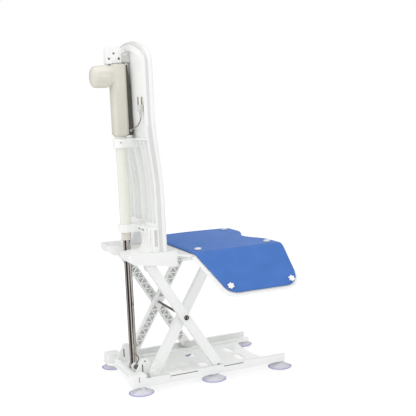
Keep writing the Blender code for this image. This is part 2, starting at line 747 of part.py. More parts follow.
def front_edge(half, front, dip):
    """The seat's front edge from its corner to the middle, with the shallow leg dip."""
    points = []
    for step in range(9):
        x = DIP_HALF * (8 - step) / 8
        points.append((x, front + dip * (1 + math.cos(math.pi * x / DIP_HALF)) / 2))
    return [(half, front + FLAP_MARGIN), (half - FLAP_MARGIN, front)] + points


def knuckles(starts):
    """Hinge barrels at the left hinge axis, each with a short tongue to its plate."""
    barrels = []
    for y in starts:
        barrels.append(rod("Y", (HINGE_X, y, HINGE_Z), KNUCKLE_LENGTH, KNUCKLE_RADIUS, 16))
    return barrels


def tongues(starts, side):
    """Plates from the hinge barrels to the seat (-1) or to the flap (1)."""
    blocks = []
    for y in starts:
        ends = sorted((HINGE_X + side * FIT, HINGE_X + side * (KNUCKLE_RADIUS + FLAP_MARGIN)))
        blocks.append(box((ends[0], y + FIT, PLATE_BOTTOM + FIT),
                          (ends[1], y + KNUCKLE_LENGTH - FIT, PLATE_TOP - FIT)))
    return blocks


def hinge_bore():
    return rod("Y", (HINGE_X, SEAT_FRONT - FLAP_MARGIN, HINGE_Z), COVER_REAR - SEAT_FRONT + 2 * FLAP_MARGIN,
               HINGE_PIN + FIT, 16)


def build_seat_frame():
    plate_half = HINGE_X - KNUCKLE_RADIUS - RUN
    rear = COVER_REAR + FLAP_MARGIN
    plate = prism(whole(
        [(0, DECK_FRONT + DECK_WALL), (DECK_HALF - DECK_WALL, DECK_FRONT + DECK_WALL),
         (plate_half, rear)] + front_edge(plate_half, SEAT_FRONT, SEAT_DIP - FLAP_MARGIN / 2)),
        "Z", PLATE_BOTTOM, PLATE_TOP)
    mouth = NOTCH_HALF + DECK_DEPTH / 2
    notch = [(x, NOTCH_FRONT + NOTCH_HALF + y) for x, y in arc((0, 0), NOTCH_HALF, -90, 0, 6)]
    deck = prism(whole(
        notch + [(mouth, DECK_REAR - DECK_WALL), (mouth + DECK_WALL, DECK_REAR),
                 (DECK_HALF - DECK_WALL, DECK_REAR), (DECK_HALF, DECK_REAR - DECK_WALL),
                 (DECK_HALF, DECK_FRONT), (0, DECK_FRONT)]),
        "Z", DECK_BOTTOM, DECK_TOP)
    pocket_low = mouth + DECK_WALL
    pocket_high = DECK_HALF - DECK_WALL
    for side in (-1, 1):
        ends = sorted((side * pocket_low, side * pocket_high))
        deck = cut(deck, box((ends[0], DECK_FRONT + DECK_WALL, DECK_BOTTOM - RUN),
                             (ends[1], DECK_REAR - DECK_WALL, DECK_TOP - PLATE_T)))
    lean = [(DECK_REAR - DECK_UNDERCUT, DECK_BOTTOM - RUN), (DECK_REAR + RUN, DECK_BOTTOM - RUN),
            (DECK_REAR + RUN, DECK_BOTTOM + UNDERCUT_HEIGHT)]
    deck = cut(deck, prism(lean, "X", -DECK_HALF - RUN, DECK_HALF + RUN))
    frame = join(plate, deck)
    skirt_rear = DECK_REAR - DECK_UNDERCUT - DECK_WALL
    skirt = [(DECK_FRONT + FIT, DECK_BOTTOM + DECK_WALL), (DECK_FRONT + FIT, DECK_BOTTOM - SKIRT_DROP),
             (DECK_FRONT + DECK_WALL, DECK_BOTTOM - SKIRT_DROP - 2 * RUN),
             (skirt_rear, DECK_BOTTOM + FIT), (skirt_rear, DECK_BOTTOM + DECK_WALL)]
    for side in (-1, 1):
        ends = sorted((side * (DECK_HALF - FIT), side * (DECK_HALF - DECK_WALL + FIT)))
        frame = join(frame, prism(skirt, "X", *ends))
    track_bottom = TOP_PIVOT_Z + ROLLER_RADIUS + FIT
    track_outer = INNER_ARM_X - RUN
    lug_outer = OUTER_ARM_X - RUN
    bar_front = COVER_REAR + FLAP_MARGIN / 2
    for side in (-1, 1):
        ends = sorted((side * track_outer, side * (track_outer - TRACK_WIDTH)))
        frame = join(frame, box((ends[0], SEAT_FRONT + 2 * FLAP_MARGIN, track_bottom),
                                (ends[1], DECK_FRONT + DECK_WALL / 2, PLATE_TOP - FIT)))
        ends = sorted((side * lug_outer, side * (lug_outer - LUG_THICK)))
        frame = join(frame, prism(lug_outline(TOP_PIVOT_Z, LUG_RADIUS, DECK_TOP - FIT), "X", *ends))
        ends = sorted((side * track_outer, side * (plate_half - FLAP_MARGIN)))
        frame = join(frame, box((ends[0], bar_front, track_bottom + DECK_WALL),
                                (ends[1], bar_front + DECK_WALL, PLATE_TOP - FIT)))
    frame = cut(frame, rod("X", (-DECK_HALF + DECK_WALL, PIVOT_Y, TOP_PIVOT_Z), 2 * (DECK_HALF - DECK_WALL),
                           PIN_RADIUS + FIT))
    left = knuckles(SEAT_KNUCKLES) + tongues(SEAT_KNUCKLES, -1)
    bore = hinge_bore()
    for tool in left + [mirrored(piece) for piece in left]:
        frame = join(frame, tool)
    twin_bore = mirrored(bore)
    node(cut(frame, bore, twin_bore), "seat_frame", WHITE, SEAT_AXIS)
    pin = rod("X", (lug_outer - LUG_THICK, PIVOT_Y, TOP_PIVOT_Z),
              OUTER_FACE - lug_outer + LUG_THICK - RUN, PIN_RADIUS)
    pair(pin, "seat_pivot_pin", STEEL, (SEAT_AXIS, SEAT_AXIS))


def crown(pad, edge):
    """Round the upper edge of a flat pad and leave its underside flat."""
    bm = bmesh.new()
    bm.from_mesh(pad.data)
    top = max(vert.co.z for vert in bm.verts)
    rim = [edge for edge in bm.edges
           if all(vert.co.z > top - FIT for vert in edge.verts)
           and any(face.normal.z < 0.5 for face in edge.link_faces)]
    bmesh.ops.bevel(bm, geom=rim, offset=edge, segments=2, profile=0.5, affect="EDGES", clamp_overlap=True)
    bm.to_mesh(pad.data)
    bm.free()
    return pad


def stud(along, y, seat_z):
    """A six-pointed star head with a shank that goes through the cover."""
    points = []
    for index in range(12):
        reach = STUD_RADIUS if index % 2 == 0 else 0.68 * STUD_RADIUS
        angle = math.pi * index / 6
        points.append((along + reach * math.cos(angle), y + reach * math.sin(angle)))
    head = prism(points, "Z", seat_z + COVER_T + 2 * FIT, seat_z + COVER_T + 2 * FIT + STUD_HEIGHT)
    shank = rod("Z", (along, y, seat_z + FIT), COVER_T + STUD_HEIGHT / 2, STUD_SHANK, 12)
    return join(head, shank)


def stud_hole(along, y, seat_z):
    return rod("Z", (along, y, seat_z - RUN), COVER_T + 4 * RUN, STUD_SHANK + FIT, 12)


def build_seat_cover():
    half = HINGE_X - COVER_EDGE
    cover = prism(whole(
        [(0, COVER_REAR), (half - FLAP_MARGIN, COVER_REAR), (half, COVER_REAR - FLAP_MARGIN)]
        + front_edge(half, SEAT_FRONT - FIT, SEAT_DIP)), "Z", COVER_BOTTOM, COVER_TOP)
    cover = crown(cover, COVER_T / 2)
    for label, (x, y) in zip(("rear", "front"), SEAT_STUDS):
        for side in (-1, 1):
            cover = cut(cover, stud_hole(side * x, y, COVER_BOTTOM))
        pair(stud(x, y, COVER_BOTTOM - FIT), "seat_stud_" + label, WHITE, (SEAT_AXIS, SEAT_AXIS))
    node(cover, "seat_cover", BLUE, SEAT_AXIS)


# Side flaps, modelled level at the left hinge and then turned down to where they rest

def flap_outline(inner, grow):
    """The flap from above: its rear edge slants forward, its outer corners are round."""
    outer = HINGE_X + FLAP_WIDTH + grow
    return rounded([
        (inner, SEAT_FRONT - grow / 2, 0), (outer, SEAT_FRONT - grow / 2, FLAP_CORNER),
        (outer, FLAP_REAR + grow, FLAP_CORNER), (inner, COVER_REAR + grow / 2, 0)], 6)


def hang(obj):
    """Turn a level flap piece about the hinge axis to its resting droop."""
    hinge = Vector((HINGE_X, 0, HINGE_Z))
    turn = Matrix.Rotation(DROOP, 4, "Y")
    obj.data.transform(Matrix.Translation(hinge) @ turn @ Matrix.Translation(-hinge))
    return obj


def build_flaps():
    plate = prism(flap_outline(HINGE_X + KNUCKLE_RADIUS + RUN, FLAP_MARGIN), "Z", PLATE_BOTTOM, PLATE_TOP)
    plate = join(plate, *knuckles(FLAP_KNUCKLES), *tongues(FLAP_KNUCKLES, 1))
    plate = cut(plate, hinge_bore())
    cover = prism(flap_outline(HINGE_X + COVER_EDGE, 0), "Z", COVER_BOTTOM, COVER_TOP)
    cover = crown(cover, COVER_T / 2)
    for label, (along, y) in zip(("rear", "front"), FLAP_STUDS):
        x = HINGE_X + along
        cover = cut(cover, stud_hole(x, y, COVER_BOTTOM))
        pair(hang(stud(x, y, COVER_BOTTOM - FIT)), "flap_stud_" + label, WHITE, FLAP_AXES)
    pair(hang(plate), "flap_plate", WHITE, FLAP_AXES)
    pair(hang(cover), "flap_cover", BLUE, FLAP_AXES)
    ys = SEAT_KNUCKLES + FLAP_KNUCKLES
    pin = rod("Y", (HINGE_X, min(ys), HINGE_Z), max(ys) + KNUCKLE_LENGTH - min(ys), HINGE_PIN, 16)
    pair(pin, "flap_hinge_pin", STEEL, (SEAT_AXIS, SEAT_AXIS))


# Backrest

def bend_share(z):
    """From 0 at the waist to 1 at the shoulders, along a gentle S."""
    share = min(max((z - BEND_LOW) / (BEND_HIGH - BEND_LOW), 0), 1)
    return share * share * (3 - 2 * share)


def back_front(z):
    """How far back the front surface stands at a height."""
    return BACK_FRONT_LOW + (BACK_FRONT_HIGH - BACK_FRONT_LOW) * bend_share(z)


def collar_seat():
    """The flat pad behind the shelf that the tube collar is screwed to."""
    return back_front(SHELF_Z + SHELF_THICK / 2) + BACK_THICK + RUN


def bent(obj):
    """Slice a straight upright piece across the bend and let it follow the S."""
    bm = bmesh.new()
    bm.from_mesh(obj.data)
    slices = 8
    for index in range(slices + 1):
        z = BEND_LOW + (BEND_HIGH - BEND_LOW) * index / slices
        bmesh.ops.bisect_plane(bm, geom=bm.verts[:] + bm.edges[:] + bm.faces[:],
                               plane_co=(0, 0, z), plane_no=(0, 0, 1))
    for vert in bm.verts:
        vert.co.y += back_front(vert.co.z)
        vert.co.x *= 1 + SHOULDER_OUT / BACK_HALF * bend_share(vert.co.z)
    bm.to_mesh(obj.data)
    bm.free()
    return obj


def back_outline(inset, bottom):
    """The backrest from behind, with round shoulders and an arched top."""
    half = BACK_HALF - inset
    top = BACK_TOP - inset
    corner = BACK_CORNER - inset
    level = half * CROWN_SHARE
    slope = math.atan2(BACK_CROWN, half - level)
    sweep = level * CROWN_SWEEP / math.tan(slope / 2)
    return rounded([
        (-half, bottom, 0), (half, bottom, 0), (half, top - BACK_CROWN, corner), (level, top, sweep),
        (-level, top, sweep), (-half, top - BACK_CROWN, corner)], 6)


def build_backrest():
    bottom = DECK_TOP + FIT
    sunk = bottom - 2 * RIM_ROUND
    shell = prism(back_outline(0, sunk), "Y", 0, BACK_THICK)
    shell = bent(soften(shell, RIM_ROUND, 3, 60))
    foot = box((-BACK_HALF + RIM_DEPTH, BACK_FRONT_LOW + RIM_DEPTH, sunk),
               (BACK_HALF - RIM_DEPTH, FOOT_REAR, FOOT_TOP))
    foot_front = BACK_FRONT_LOW + RIM_DEPTH
    spread = [(FOOT_REAR + FLARE_OUT * (1 - u), bottom + FLARE_UP * (1 - v))
              for u, v in arc((0, 0), 1, 0, 90, 6)]
    spread += [(FOOT_REAR + FLARE_OUT, sunk), (foot_front, sunk), (foot_front, bottom + FLARE_UP)]
    flare = prism(spread, "X", RIM_WIDTH / 2 - BACK_HALF, BACK_HALF - RIM_WIDTH / 2)
    shell = join(shell, soften(foot, RIM_DEPTH / 2), flare)
    shelf_low = SHELF_Z - SHELF_THICK / 2
    shelf_high = SHELF_Z + SHELF_THICK / 2
    upper = prism(back_outline(RIM_WIDTH, shelf_high), "Y", BACK_THICK - RIM_DEPTH, 2 * BACK_THICK)
    lower = box((RIM_WIDTH - BACK_HALF, BACK_THICK - 2 * RIM_DEPTH, FOOT_TOP + RIM_DEPTH),
                (BACK_HALF - RIM_WIDTH, 2 * BACK_THICK, shelf_low))
    shell = cut(shell, bent(upper), bent(lower))
    for x in RIB_XS:
        for side in (-1, 1):
            rib = box((side * x - RIB_THICK / 2, BACK_THICK / 4, FOOT_TOP),
                      (side * x + RIB_THICK / 2, BACK_THICK - RIM_DEPTH / 2, SHELF_Z))
            shell = join(shell, bent(rib))
    pad = box((-BRACKET_HALF, back_front(SHELF_Z - COLLAR_HEIGHT) + RIM_DEPTH, shelf_high - COLLAR_HEIGHT),
              (BRACKET_HALF, collar_seat(), shelf_high))
    shell = join(shell, pad)
    arch = prism([(ARCH_HALF, sunk - RUN)] + arc((0, ARCH_TOP - ARCH_HALF), ARCH_HALF, 0, 180, 10)
                 + [(-ARCH_HALF, sunk - RUN)], "Y", 0, 2 * FOOT_REAR)
    flush = box((-2 * BACK_HALF, 0, sunk - RUN), (2 * BACK_HALF, 2 * FOOT_REAR, bottom))
    shell = cut(shell, arch, flush)
    for side in (-1, 1):
        x = side * (BACK_HALF - RIM_WIDTH)
        slot = box((x - SLOT_WIDTH / 2, FOOT_REAR - 2 * SLOT_WIDTH, SLOT_BOTTOM),
                   (x + SLOT_WIDTH / 2, FOOT_REAR + SLOT_WIDTH, FOOT_TOP - RIM_DEPTH))
        shell = cut(shell, slot)
    node(shell, "backrest", WHITE, SEAT_AXIS)


# Actuator on the back of the backrest

def yoke(front, low, high):
    """A clamp round the tube with a block that reaches forward to the backrest."""
    reach = TUBE_RADIUS + COLLAR_WALL
    outline = [(x, ACTUATOR_Y + y) for x, y in arc((0, 0), reach, 0, 180, 12)]
    outline += [(-reach, front), (reach, front)]
    ring = prism(outline, "Z", low, high)
    return cut(ring, rod("Z", (0, ACTUATOR_Y, low - RUN), high - low + 2 * RUN, TUBE_RADIUS + RUN / 2, 24))


def build_actuator():
    half = HOUSING_WIDTH / 2
    corner = HOUSING_ROUND
    rim = RAIL_FLANGE
    body = prism(rounded([(-half, HOUSING_FRONT, corner), (half, HOUSING_FRONT, corner),
                          (half, HOUSING_REAR, corner), (-half, HOUSING_REAR, corner)], 3),
                 "Z", HOUSING_BOTTOM + 2 * rim, HOUSING_TOP)
    inner = half - rim
    tight = corner - rim
    foot = prism(rounded([(-inner, HOUSING_FRONT + rim, tight), (inner, HOUSING_FRONT + rim, tight),
                          (inner, HOUSING_REAR - rim, tight), (-inner, HOUSING_REAR - rim, tight)], 3),
                 "Z", HOUSING_BOTTOM, HOUSING_TOP - HOUSING_WIDTH)
    neck = rod("Y", (0, ACTUATOR_Y, MOTOR_Z), HOUSING_REAR + NECK_LENGTH - ACTUATOR_Y, NECK_RADIUS)
    node(join(soften(body, rim * 0.8, 1, 60), foot, neck), "actuator_housing", IVORY, SEAT_AXIS)
    cap_front = HOUSING_REAR + NECK_LENGTH + FIT
    length = MOTOR_END - cap_front
    curve = MOTOR_RADIUS / 2
    profile = [(0, 0)]
    for step in range(6):
        share = step / 5
        widen = share * share * (3 - 2 * share)
        profile.append((NECK_RADIUS + (MOTOR_RADIUS - NECK_RADIUS) * widen, -NECK_TAPER * share))
    profile += [(MOTOR_RADIUS - curve + u, -length + curve - v) for u, v in arc((0, 0), curve, 0, 90, 5)]
    profile += [(0, -length)]
    cap = turned(profile, "Y", (0, cap_front, MOTOR_Z), 24)
    node(cap, "motor_cap", IVORY, SEAT_AXIS)
    shell_front = HOUSING_FRONT - SHELL_DEPTH
    wedge = [(HOUSING_FRONT - FIT, HOUSING_BOTTOM + rim), (HOUSING_FRONT - FIT, HOUSING_TOP - rim),
             (HOUSING_FRONT - rim, HOUSING_TOP - rim), (shell_front, HOUSING_BOTTOM + 2 * HOUSING_WIDTH),
             (shell_front, HOUSING_BOTTOM + SHELL_DEPTH),
             (shell_front + SHELL_DEPTH / 2, HOUSING_BOTTOM + rim)]
    node(prism(wedge, "X", corner - half - rim, half - corner + rim), "casing_spine", DARK, SEAT_AXIS)
    wall = [(TUBE_BORE, TUBE_TOP), (TUBE_RADIUS, TUBE_TOP),
            (TUBE_RADIUS, TUBE_BOTTOM), (TUBE_BORE, TUBE_BOTTOM)]
    node(turned(wall, "Z", (0, ACTUATOR_Y, 0), 24, ring=True), "actuator_tube", CREAM, SEAT_AXIS)
    shelf_high = SHELF_Z + SHELF_THICK / 2
    node(yoke(collar_seat() + FIT, shelf_high - COLLAR_HEIGHT, shelf_high), "tube_collar", WHITE, SEAT_AXIS)
    clamp = yoke(FOOT_REAR + FIT, TUBE_BOTTOM, TUBE_BOTTOM + CLAMP_HEIGHT)
    bar_low = TUBE_BOTTOM + (CLAMP_HEIGHT - BAR_HEIGHT) / 2
    bar = box((-BAR_HALF, FOOT_REAR + 2 * FIT, bar_low),
              (BAR_HALF, FOOT_REAR + BAR_THICK, bar_low + BAR_HEIGHT))
    node(join(clamp, bar), "tube_clamp", WHITE, SEAT_AXIS)
    top = TUBE_BOTTOM - FIT
    bush = [(ROD_RADIUS + RUN, top), (BUSH_RADIUS, top), (BUSH_RADIUS, top - BUSH_HEIGHT + RUN),
            (BUSH_RADIUS - RUN, top - BUSH_HEIGHT), (ROD_RADIUS + RUN, top - BUSH_HEIGHT)]
    node(turned(bush, "Z", (0, ACTUATOR_Y, 0), 20, ring=True), "rod_bush", IVORY, SEAT_AXIS)
    wall_y = BACK_FRONT_HIGH + BACK_THICK - RIM_DEPTH
    low = HOUSING_TOP + FIT
    high = low + BRACKET_HEIGHT
    front = HOUSING_FRONT + TOP_SHIFT - rim
    rear = HOUSING_REAR + TOP_SHIFT
    bracket = prism(rounded([(front, low, 0), (rear, low, 0), (rear, high, BRACKET_ROUND),
                             (front, high, BRACKET_ROUND)], 4), "X", -TOP_HALF, TOP_HALF)
    bracket = soften(bracket, rim / 2, 1, 60)
    middle = (front + rear) / 2
    lower_screw = low + POST_UP
    upper_screw = low + 2 * POST_UP
    for y, z in ((-SCREW_SPREAD, lower_screw), (0, upper_screw), (SCREW_SPREAD, lower_screw)):
        for start in (-TOP_HALF - RUN, TOP_HALF - SCREW_DEPTH):
            hole = rod("X", (start, middle + y, z), SCREW_DEPTH + RUN, SCREW_RADIUS, 12)
            bracket = cut(bracket, hole)
    node(bracket, "top_bracket", WHITE, SEAT_AXIS)
    post_outer = TOP_HALF - RUN
    post_low = lower_screw - POST_HALF
    post_high = lower_screw + POST_HALF
    post = prism(rounded([(RUN, post_low, rim), (post_outer, post_low, 2 * rim),
                          (post_outer, post_high, 2 * rim), (RUN, post_high, rim)], 3),
                 "Y", wall_y + FIT, front - FIT)
    pair(post, "bracket_post", GREY, (SEAT_AXIS, SEAT_AXIS))


# Mains plug parked on the backrest, with its short lead

def smooth_route(points, steps):
    """Points on a smooth curve through the route's own points."""
    ends = [points[0] * 2 - points[1]] + points + [points[-1] * 2 - points[-2]]
    route = []
    for before, start, end, after in zip(ends, ends[1:], ends[2:], ends[3:]):
        for step in range(steps):
            t = step / steps
            route.append(0.5 * (2 * start + (end - before) * t
                                + (2 * before - 5 * start + 4 * end - after) * t * t
                                + (3 * start - before - 3 * end + after) * t * t * t))
    return route + [points[-1]]


def build_plug():
    plug_y = BACK_FRONT_HIGH + BACK_THICK - RIM_DEPTH + FIT + PLUG_RADIUS
    thin = PLUG_RADIUS * 0.4
    body = turned(
        [(0, PLUG_LENGTH), (PLUG_RADIUS * 0.8, PLUG_LENGTH), (PLUG_RADIUS, PLUG_LENGTH * 0.9),
         (PLUG_RADIUS, PLUG_LENGTH * 0.62), (PLUG_RADIUS * 0.78, PLUG_LENGTH * 0.42),
         (thin * 1.3, PLUG_LENGTH * 0.30), (thin, 0), (0, 0)],
        "Z", (PLUG_X, plug_y, PLUG_Z), 20)
    for side in (-1, 1):
        pin = rod("Z", (PLUG_X, plug_y + side * PLUG_PIN_GAP, PLUG_Z + PLUG_LENGTH - RUN),
                  PLUG_PIN_LENGTH + RUN, PLUG_PIN, 10)
        body = join(body, pin)
    node(body, "mains_plug", GREY, SEAT_AXIS)
    gland_x = HOUSING_ROUND - HOUSING_WIDTH / 2 - RAIL_FLANGE - FIT
    gland_end = gland_x - GLAND_LENGTH
    gland_y = HOUSING_FRONT - SHELL_DEPTH / 2
    gland_z = HOUSING_BOTTOM + SHELL_DEPTH + GLAND_RADIUS
    gland = turned(
        [(0, 0), (GLAND_RADIUS, 0), (GLAND_RADIUS * 0.9, -GLAND_LENGTH * 0.3),
         (CORD_RADIUS * 1.3, -GLAND_LENGTH), (0, -GLAND_LENGTH)],
        "X", (gland_x, gland_y, gland_z), 16)
    node(gland, "cord_gland", GREY, SEAT_AXIS)
    start = Vector((gland_end - FIT, gland_y, gland_z))
    end = Vector((PLUG_X, plug_y, PLUG_Z - FIT))
    route = [start, start + Vector((-0.008, 0.001, 0.001)), start + Vector((-0.030, 0.003, 0.006))]
    route += [end + Vector((0.024, 0.003, -0.024)), end + Vector((0.002, 0.001, -0.008)), end]
    node(tube(smooth_route(route, 5), CORD_RADIUS), "mains_lead", GREY, SEAT_AXIS)


build_seat_frame()
build_seat_cover()
build_flaps()
build_backrest()
build_actuator()
build_plug()
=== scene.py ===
# %% [markdown]
# # Dressing a floor recovery chair
# The chair lifts a sitter off the floor: a scissor frame under the seat, a tall moulded
# backrest, and a motor column behind it that pushes on the base. Its solids are already
# made and jointed, so this lesson loads them as a fixed frame and works on what
# the eye sees: the finish of every surface, the soft blue cover, the cord and its plug.

# %% Load the frame
import json
import math

import bmesh
import bpy
from mathutils import Matrix, Quaternion, Vector


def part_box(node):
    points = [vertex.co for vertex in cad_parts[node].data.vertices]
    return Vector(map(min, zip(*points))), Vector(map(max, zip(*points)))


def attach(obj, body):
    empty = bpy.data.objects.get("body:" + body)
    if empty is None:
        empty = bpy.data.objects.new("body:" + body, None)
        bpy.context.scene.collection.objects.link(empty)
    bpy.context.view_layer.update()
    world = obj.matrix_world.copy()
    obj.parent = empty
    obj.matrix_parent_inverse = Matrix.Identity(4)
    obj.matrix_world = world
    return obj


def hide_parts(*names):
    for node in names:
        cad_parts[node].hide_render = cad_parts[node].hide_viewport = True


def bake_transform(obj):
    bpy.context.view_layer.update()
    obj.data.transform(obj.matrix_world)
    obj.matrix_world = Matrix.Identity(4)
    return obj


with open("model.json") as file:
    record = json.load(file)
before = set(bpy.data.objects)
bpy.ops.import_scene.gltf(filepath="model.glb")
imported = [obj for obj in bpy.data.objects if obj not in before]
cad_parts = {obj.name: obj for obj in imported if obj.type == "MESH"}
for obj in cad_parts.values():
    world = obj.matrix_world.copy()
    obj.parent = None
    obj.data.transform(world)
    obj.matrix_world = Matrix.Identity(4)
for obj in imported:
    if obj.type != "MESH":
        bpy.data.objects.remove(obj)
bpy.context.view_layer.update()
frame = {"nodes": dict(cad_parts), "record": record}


def middle(name):
    """The middle of a solid's box."""
    return sum(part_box(name), Vector()) / 2


def lengths(name):
    """The lengths of a solid's box along X, Y and Z."""
    low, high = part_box(name)
    return high - low


def under(name):
    """The middle of the underside of a solid's box."""
    return Vector((*middle(name).xy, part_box(name)[0].z))


# %% [markdown]
# ## Working in edit mode
# Pieces are shaped as by hand: add a primitive, pick some of its faces or edges, and push an
# operator. A few small helpers serve them all. They select one piece alone, copy a mesh, start
# a primitive, make a block or a line through points, select what passes a test on its middle,
# close the piece, apply a modifier, and keep a number for every point.

# %% Helpers for edit mode
NEAR = 0.001
WELD = 0.00002


def alone(piece):
    """Makes a piece the only one that is selected, and the active one."""
    bpy.ops.object.select_all(action="DESELECT")
    piece.select_set(True)
    bpy.context.view_layer.objects.active = piece
    return piece


def copied(name, mesh):
    """A new object with its own copy of a mesh."""
    piece = bpy.data.objects.new(name, mesh.copy())
    bpy.context.collection.objects.link(piece)
    return piece


def start_piece(add, name, **settings):
    """Runs an operator that adds a primitive, and leaves it alone in edit mode."""
    if bpy.context.object and bpy.context.object.mode != "OBJECT":
        bpy.ops.object.mode_set(mode="OBJECT")
    bpy.ops.object.select_all(action="DESELECT")
    add(**settings)
    piece = bpy.context.object
    piece.name = name
    piece.data.name = name
    bpy.ops.object.transform_apply(location=True, rotation=True, scale=True)
    bpy.ops.object.mode_set(mode="EDIT")
    return piece


def block(name, low, high):
    """A cube resized and moved to fill the box between two corners, left in edit mode."""
    low, high = Vector(low), Vector(high)
    piece = start_piece(bpy.ops.mesh.primitive_cube_add, name, size=1)
    bpy.ops.mesh.select_all(action="SELECT")
    bpy.ops.transform.resize(value=[abs(v) for v in high - low], center_override=(0, 0, 0))
    bpy.ops.transform.translate(value=(low + high) / 2)
    return piece


def drawn(name, points, fill):
    """A circle whose vertices are moved to points, filled or not, left in edit mode."""
    piece = start_piece(bpy.ops.mesh.primitive_circle_add, name, vertices=len(points), fill_type=fill)
    mesh = bmesh.from_edit_mesh(piece.data)
    mesh.verts.ensure_lookup_table()
    for vert, point in zip(mesh.verts, points):
        vert.co = point
    return piece


def pick(kind, test):
    """Selects the vertices, edges or faces of the piece in edit mode whose middle passes a test."""
    bpy.ops.mesh.select_mode(type=kind)
    bpy.ops.mesh.select_all(action="DESELECT")
    mesh = bmesh.from_edit_mesh(bpy.context.object.data)
    for item in {"VERT": mesh.verts, "EDGE": mesh.edges, "FACE": mesh.faces}[kind]:
        corners = [item.co] if kind == "VERT" else [corner.co for corner in item.verts]
        if test(sum(corners, Vector()) / len(corners)):
            item.select_set(True)
    mesh.select_flush_mode()
    bmesh.update_edit_mesh(bpy.context.object.data)


def end_piece(angle=35):
    """Merges doubles, turns the faces outwards, leaves edit mode and shades the piece."""
    bpy.ops.mesh.select_mode(type="VERT")
    bpy.ops.mesh.select_all(action="SELECT")
    bpy.ops.mesh.remove_doubles(threshold=WELD)
    bpy.ops.mesh.normals_make_consistent(inside=False)
    bpy.ops.object.mode_set(mode="OBJECT")
    bpy.ops.object.shade_smooth_by_angle(angle=math.radians(angle))
    return bpy.context.object


def bake(piece, kind, **settings):
    """Adds one modifier to a piece and applies it at once."""
    alone(piece)
    modifier = piece.modifiers.new(kind.lower(), kind)
    for setting, value in settings.items():
        setattr(modifier, setting, value)
    bpy.ops.object.modifier_apply(modifier=modifier.name)
    return piece


def store(piece, name, rule):
    """Keeps a number for every point of a piece, for its finish to read."""
    kept = piece.data.attributes.new(name, "FLOAT", "POINT")
    for vert, value in zip(piece.data.vertices, kept.data):
        value.value = rule(vert.co)


# %% [markdown]
# ## Camera
# The picture was taken from behind the chair's right side, a little above the seat, with a
# long lens that keeps the uprights almost parallel. The camera is aimed with a track
# quaternion and then rolled about its own axis, because the picture leans slightly.

# %% Place the camera
EYE = Vector((-2.549, 1.024, 0.910))
AIM = Vector((-0.026, -0.0786, 0.5722))
ROLL = math.radians(-2.517)
LENS_MM = 68.18

bpy.ops.object.select_all(action="DESELECT")
bpy.ops.object.camera_add(location=EYE)
camera = bpy.context.object
camera.name = "chair_camera"
camera.data.lens = LENS_MM
camera.rotation_mode = "QUATERNION"
camera.rotation_quaternion = (AIM - EYE).to_track_quat("-Z", "Y") @ Quaternion((0, 0, 1), ROLL)
bpy.context.scene.camera = camera
print("camera is", round((AIM - EYE).length, 2), "m from its aim")

# %% [markdown]
# ## A white studio
# The chair is white on white, so the light has to be gentle: a soft sky gives most of it,
# and a few lamps add the slow change from face to face that shows the form. The
# background is white for the rays that look at it, and dimmer for the rays that light the
# chair, which is what the Light Path node is for. Node trees are built with three helpers here
# and in the finishes: feed sets or links the inputs of a node, add_node makes a node, and
# new_finish starts a material from a Principled shader.

# %% Helpers for nodes
def feed(tree, node, inputs):
    """Links an input to another node's output, or gives it a plain value."""
    for name, value in inputs.items():
        if isinstance(value, bpy.types.NodeSocket):
            tree.links.new(value, node.inputs[name])
        else:
            node.inputs[name].default_value = value


def add_node(tree, kind, inputs=None, **settings):
    """A new node of a kind, with its settings and its inputs."""
    node = tree.nodes.new("ShaderNode" + kind)
    for setting, value in settings.items():
        setattr(node, setting, value)
    feed(tree, node, inputs or {})
    return node


def new_finish(name, roughness, metallic=0.0):
    """A material with one Principled shader, to add layers to."""
    finish = bpy.data.materials.new(name)
    finish.use_nodes = True
    shader = finish.node_tree.nodes["Principled BSDF"]
    feed(finish.node_tree, shader, {"Roughness": roughness, "Metallic": metallic})
    return finish, finish.node_tree, shader


def seen_directly(tree):
    """One for rays that show a background: from the camera, a mirror or clear plastic."""
    path = add_node(tree, "LightPath")
    total = path.outputs["Is Camera Ray"]
    for kind in ("Is Glossy Ray", "Is Transmission Ray"):
        larger = add_node(tree, "Math", {0: total, 1: path.outputs[kind]}, operation="MAXIMUM")
        total = larger.outputs["Value"]
    return total


# %% Sky
SKY_LEVEL = 0.82
WHITE = (1, 1, 1, 1)

bpy.context.scene.view_settings.view_transform = "Standard"
sky = bpy.data.worlds.new("studio_sky")
sky.use_nodes = True
bpy.context.scene.world = sky
tree = sky.node_tree
light = tree.nodes["Background"]
feed(tree, light, {"Color": WHITE, "Strength": SKY_LEVEL})
white = add_node(tree, "Background", {"Color": WHITE, "Strength": 1})
choose = add_node(tree, "MixShader", {
    "Fac": seen_directly(tree), 1: light.outputs["Background"], 2: white.outputs["Background"]})
feed(tree, tree.nodes["World Output"], {"Surface": choose.outputs["Shader"]})
print("sky lights at", SKY_LEVEL)

# %% [markdown]
# The floor is paper that takes the chair's shadow and glows a little, so that it turns white
# all round. Its glow grows with the distance from the chair and is dimmer for the rays that
# only light the chair from below.

# %% Floor
FLOOR_SIZE = 24
FLOOR_DROP = 0.0004
FLOOR_GLOW = 0.62
FAR_GLOW = 0.74
NEAR_REACH = 0.9
FAR_REACH = 4.5
FLOOR_BOUNCE = 0.90
FLOOR_TONE = 0.42

